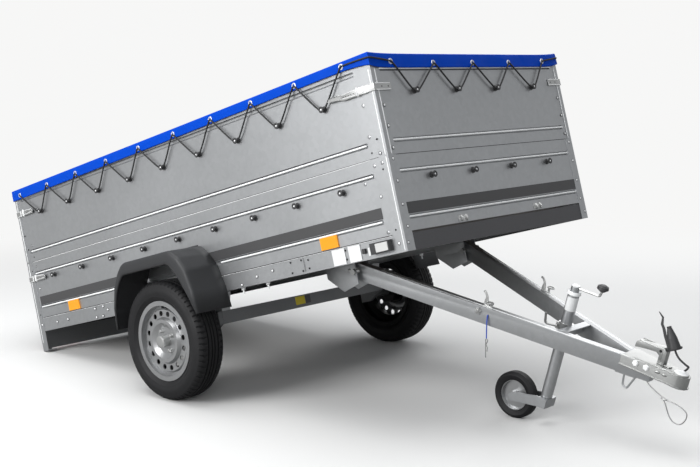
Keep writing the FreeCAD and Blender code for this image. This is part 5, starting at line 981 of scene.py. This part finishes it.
# Runs on one latch: from (along, up, out) to the same, the width and the height.
latchRidges = [((0.080, -0.019, 0.0060), (0.080, 0.019, 0.0060), 0.009, 0.0075),
               ((0.050, -0.017, 0.002), (0.050, 0.017, 0.002), 0.006, 0.0055)]
latchSlots = [((0.0655, -0.0095, 0.0035), (0.0655, 0.0095, 0.0035), 0.012, 0.0022)]
latchEdges = (-0.0125, 0.0125)
for v in latchEdges:
    latchRidges.append(((0.006, v, 0.0), (0.078, v, 0.003), 0.0045, 0.0038))
    latchRidges.append(((0.084, v * 0.9, 0.0075), (0.164, v * 0.55, 0.0085), 0.0040, 0.0035))
for n in range(5):
    u = 0.094 + 0.014 * n
    latchSlots.append(((u, -0.0015, 0.0085), (u + 0.008, -0.0015, 0.0086), 0.0038, 0.0008))

ridgeHighlights, slotHoles, grips = bmesh.new(), bmesh.new(), bmesh.new()
for side in sides:
    for corner, sign, level in latches:
        for form, runs in ((ridgeHighlights, latchRidges), (slotHoles, latchSlots)):
            for *ends, wide, high in runs:
                start, end = [(corner + sign * u, latchFacts["face"] + w, level + v) for u, v, w in ends]
                sideRoll(form, side, start, end, wide, high)
    level, x = latches[-1][2], latchFacts["strike"]
    for v in latchEdges:
        frontRoll(ridgeHighlights, (x, side * 0.640, level + v), (x, side * 0.552, level + v), 0.0042, 0.0036)
    x = latchFacts["strikeHole"]
    for y in latchFacts["holeY"]:
        frontRoll(slotHoles, (x, side * (y - 0.004), level), (x, side * (y + 0.004), level), 0.0045, 0.0006)
    # The long grip of the front lever
    start, end = bedFacts["long"] - latchFacts["gripFrom"], bedFacts["long"] - latchFacts["gripTo"]
    outline = [(start, 0.6295), (start, 0.6505), (end + 0.008, 0.6525), (end, 0.6490), (end, 0.6380),
               (end + 0.008, 0.6345)]
    face = latchFacts["face"] + latchFacts["gripOut"]
    prism(grips, outline, side * face, side * (face + latchFacts["gripThick"]), "y")
    for edge in (0.0070, -0.0070):
        sideRoll(grips, side, (start - 0.006, face + 0.003, 0.640 + edge * 1.3),
                 (end + 0.010, face + 0.003, 0.6435 + edge), 0.0040, 0.0035)
formed("latch_grips", eased(grips, 0.0006, 1, 60), "zinc", "bed")
formed("latch_ridges", ridgeHighlights, "painted_highlight", "bed")
formed("latch_slots", slotHoles, "hole", "bed")
print("latches dressed")

# Cords of the drawbar, along the same routes as their solids

cordPlaces = {
    "plug_lead": {
        "points": [(1.05, 0.07389, 0.012), (1.066, 0.07989, 0.012), (1.096, 0.06816, 0.014),
                   (1.29008, 0.05168, 0.018), (1.31402, 0.04864, 0.044), (1.33606, 0.02204, 0.076),
                   (1.33112, 0.00494, 0.083), (1.28733, 0, 0.10065), (1.27246, 0, 0.12355)],
        "radius": 0.004, "look": "black_plastic", "node": "plug_cable", "length": 0.408,
        "far": "plug", "stiffness": "medium", "lay": "loose", "pieces": ["trailer_plug"],
    },
    "breakaway_cable": {
        "points": [(1.207, -0.014, -0.0353), (1.207, -0.014, -0.0441), (1.302, -0.033, -0.0641),
                   (1.35764, -0.03394, -0.05982), (1.39723, -0.03488, -0.06945),
                   (1.40686, -0.03535, -0.0855), (1.40258, -0.03582, -0.11225),
                   (1.38653, -0.03629, -0.13258), (1.35871, -0.03676, -0.13151),
                   (1.33624, -0.03747, -0.11439), (1.3042, -0.0377, -0.0641),
                   (1.2932, -0.0366, -0.0619)],
        "radius": 0.0022, "look": "steel_cable", "node": "safety_cable", "length": 0.389,
        "far": "fitting", "stiffness": "stiff", "lay": "hanging", "pieces": ["safety_ferrule"],
    },
    "clip_cord": {
        "points": [(0.57, -0.22243, 0.008), (0.57, -0.23143, 0.0055), (0.59475, -0.23143, -0.08376)],
        "radius": 0.0025, "look": "blue_cord", "node": "clip_strap", "length": 0.097,
        "far": "fitting", "stiffness": "limp", "lay": "hanging", "pieces": ["lock_clip"],
    },
}
# The ferrule clamps the cable's end on its own run.
ferruleFacts = {"profile": [(0, 0.011), (0.0034, 0.011), (0.0042, 0.0095), (0.0042, -0.0095),
                            (0.0034, -0.011), (0, -0.011)],
                "squeeze": (1.35, 0.92, 1.0, 1.0), "place": (1.3005, -0.0350, -0.0634),
                "along": (0.0557, -0.0009, 0.0043)}
ferruleTurn = Vector(ferruleFacts["along"]).to_track_quat("Z", "X").to_matrix().to_4x4()
ferruleTurn = ferruleTurn @ Matrix.Rotation(math.pi / 2, 4, "Z") @ Matrix.Diagonal(ferruleFacts["squeeze"])
ferrulePlace = drawbarFrame @ Matrix.Translation(ferruleFacts["place"]) @ ferruleTurn
ferrule = formed("safety_ferrule", lathe(bmesh.new(), ferruleFacts["profile"], 20), "zinc", "drawbar",
                 place=ferrulePlace)
for name, facts in cordPlaces.items():
    line = cordOf(name, facts["points"], facts["radius"], facts["look"], "drawbar", drawbarFrame,
                  [facts["node"]])
print("cords done:", len(cordPlaces))

# Coupling: bolts and pressed ovals on its cheeks, a stop plate ahead of the lever, a dome on its nose; bolts and
# dome are white, as painted highlights

couplingFacts = {
    "rear": (1.096, 0.0609), "neck": (1.284, 0.0376), "bolts": (1.158, 1.202), "boltLevel": 0.027,
    "bolt": [(0, 0.0085), (0.0085, 0.0085), (0.0102, 0.0072), (0.0102, 0.0022), (0.0130, 0.0020),
             (0.0130, -0.0005)], "jitter": 0.5,
    "ovals": (1.248, 1.276), "halfOval": 0.011, "ovalLevels": (0.0265, 0.0285), "ovalHigh": 0.0028,
    "stop": [(1.246, -0.011), (1.274, -0.011), (1.279, -0.006), (1.279, 0.006), (1.274, 0.011),
             (1.246, 0.011)], "stopLevels": (0.0500, 0.0545),
    "dome": [(0, 0.0570), (0.0100, 0.0564), (0.0190, 0.0545), (0.0255, 0.0515), (0.0280, 0.0495),
             (0.0280, 0.0480)], "domeX": 1.322,
}


def cheek(x, side, z):  # a place on the coupling's tapering cheek, and its normal
    (x0, y0), (x1, y1) = couplingFacts["rear"], couplingFacts["neck"]
    slant = (y1 - y0) / (x1 - x0)
    normal = Vector((-slant, 1, 0)).normalized()
    return (x, side * (y0 + slant * (x - x0)), z), (normal.x, side * normal.y, 0)


spots = [facing(*cheek(x, side, couplingFacts["boltLevel"]), drawbarFrame)
         for x in couplingFacts["bolts"] for side in sides]
repeated("coupling_bolts", lathe(bmesh.new(), couplingFacts["bolt"], 6), spots, "painted_highlight", "drawbar",
         jitter=couplingFacts["jitter"])
bm = bmesh.new()
for x in couplingFacts["ovals"]:
    for side in sides:
        half, (rearLevel, frontLevel) = couplingFacts["halfOval"], couplingFacts["ovalLevels"]
        start, normal = cheek(x - half, side, rearLevel)
        end, normal = cheek(x + half, side, frontLevel)
        along = (Vector(end) - Vector(start)).normalized()
        roll(bm, start, end, Vector(normal).cross(along), normal, half, couplingFacts["ovalHigh"])
eased(bm, 0.0005, 1, 50)
formed("coupling_forms", prism(bm, couplingFacts["stop"], *couplingFacts["stopLevels"]), "pressed_zinc",
       "drawbar")
formed("coupling_dome", lathe(bmesh.new(), couplingFacts["dome"], 40), "painted_highlight", "drawbar",
       drawbarFrame @ Matrix.Translation((couplingFacts["domeX"], 0, 0)))

# Lever: ribs on its cheeks and its pivot pin, and a white strip along the outer part of each arm's top flange, a
# painted highlight

leverFacts = {"cheek": 0.0150, "pin": (1.226, 0.0151, 0.101),
              "pinHead": [(0, 0.0018), (0.0050, 0.0018), (0.0060, 0.0010), (0.0060, 0.0)]}
armFacts = {"apex": 1.275, "slope": 0.4 / 1.275, "top": 0.0348, "from": 0.090, "to": 1.085,
            "inset": 0.0135, "half": 0.0125, "high": 0.0010}
ribs, edges = bmesh.new(), bmesh.new()
for side in sides:
    y = leverFacts["cheek"]
    sideRoll(ribs, side, (1.130, y, 0.1085), (1.218, y, 0.1085), 0.006, 0.0016)
    sideRoll(ribs, side, (1.2330, y, 0.062), (1.2330, y, 0.100), 0.007, 0.0016)
    start, end = [(x, side * ((armFacts["apex"] - x) * armFacts["slope"] - armFacts["inset"]),
                   armFacts["top"]) for x in (armFacts["from"], armFacts["to"])]
    roll(edges, start, end, (armFacts["slope"], side, 0), (0, 0, 1), armFacts["half"], armFacts["high"])
formed("lever_ribs", ribs, "pressed_zinc", "drawbar")
formed("arm_edges", edges, "painted_highlight", "drawbar")
pinX, pinY, pinZ = leverFacts["pin"]
spots = [facing((pinX, side * pinY, pinZ), (0, side, 0), drawbarFrame) for side in sides]
repeated("lever_pin", lathe(bmesh.new(), leverFacts["pinHead"], 20), spots, "hole", "drawbar")

# Lock knobs: a five-lobed nut, its washer and its bolt end on the outside of each arm

knobFacts = {
    "lobes": 5, "far": 0.0165, "near": 0.0085, "turn": 0.3, "levels": (0.0030, 0.0095), "round": 0.0016,
    "washer": [(0, 0.0035), (0.0125, 0.0035), (0.0135, 0.0), (0, 0.0)],
    "end": [(0, 0.0150), (0.0042, 0.0150), (0.0052, 0.0138), (0.0052, 0.0085)], "place": (0.528, 0.012),
}
outline = []
for n in range(2 * knobFacts["lobes"]):
    radius = knobFacts["near" if n % 2 else "far"]
    angle = math.pi * n / knobFacts["lobes"] + knobFacts["turn"]
    outline.append((radius * math.cos(angle), radius * math.sin(angle)))
knob = eased(prism(bmesh.new(), outline, *knobFacts["levels"]), knobFacts["round"], 2, 40)
lathe(knob, knobFacts["washer"], 24)
lathe(knob, knobFacts["end"], 16)
x, z = knobFacts["place"]
spots = [facing((x, side * (armFacts["apex"] - x) * armFacts["slope"], z), (armFacts["slope"], side, 0),
                drawbarFrame) for side in sides]
repeated("lock_knobs", knob, spots, "zinc", "drawbar")

# Stand: a bright ring under the head and a lit rim on the cap, both white as painted highlights, and a blank label
# round the tube

standFacts = {
    "x": 0.8,
    "ring": [(0.0262, 0.160), (0.0262, 0.1755), (0.0285, 0.167), (0.0290, 0.164), (0.0285, 0.161),
             (0.0245, 0.160)],
    "cap": [(0, 0.1998), (0.0150, 0.1998), (0.0182, 0.1985), (0.0186, 0.1960), (0.0181, 0.1950)],
    "label": {"radii": (0.02401, 0.02404), "levels": (0.092, 0.151), "from": -125, "step": 4, "count": 35},
}
standFrame = drawbarFrame @ Matrix.Translation((standFacts["x"], 0, 0))
rings = lathe(bmesh.new(), standFacts["ring"], 40, True)
formed("stand_rings", lathe(rings, standFacts["cap"], 32), "painted_highlight", "stand", standFrame)
facts = standFacts["label"]
(inside, outside), (low, high) = facts["radii"], facts["levels"]
angles = [math.radians(facts["from"] + facts["step"] * n) for n in range(facts["count"])]
bm = bmesh.new()
bands = [[bm.verts.new((radius * math.cos(angle), radius * math.sin(angle), z)) for angle in angles]
         for radius, z in ((inside, low), (outside, low), (outside, high), (inside, high))]
skinned(bm, bands + bands[:1], closed=False)
bm.faces.new([band[0] for band in bands])
bm.faces.new([band[-1] for band in reversed(bands)])
formed("stand_label", bm, "blank_label", "stand", standFrame)

# Forms of the drawings with their edges eased


def onCrown(place):  # the rim of the coupling's top, which slopes up to its nose
    spot = drawbarFrame.inverted() @ place
    return spot.z > 0.0397 + min(0.009, (spot.x - 1.095) * 0.0476)


softened("coupling_head", 0.0014, 0.0045, onCrown)
eases = {"coupling_handle": 0.0022, "lock_brackets": 0.0008, "hinge_brackets": 0.0008,
         "drawbar_arm_right": 0.003, "drawbar_arm_left": 0.003, "cross_bar": 0.001, "board_latches": 0.0007}
for node, width in eases.items():
    softened(node, width)
print("forms eased:", len(eases))
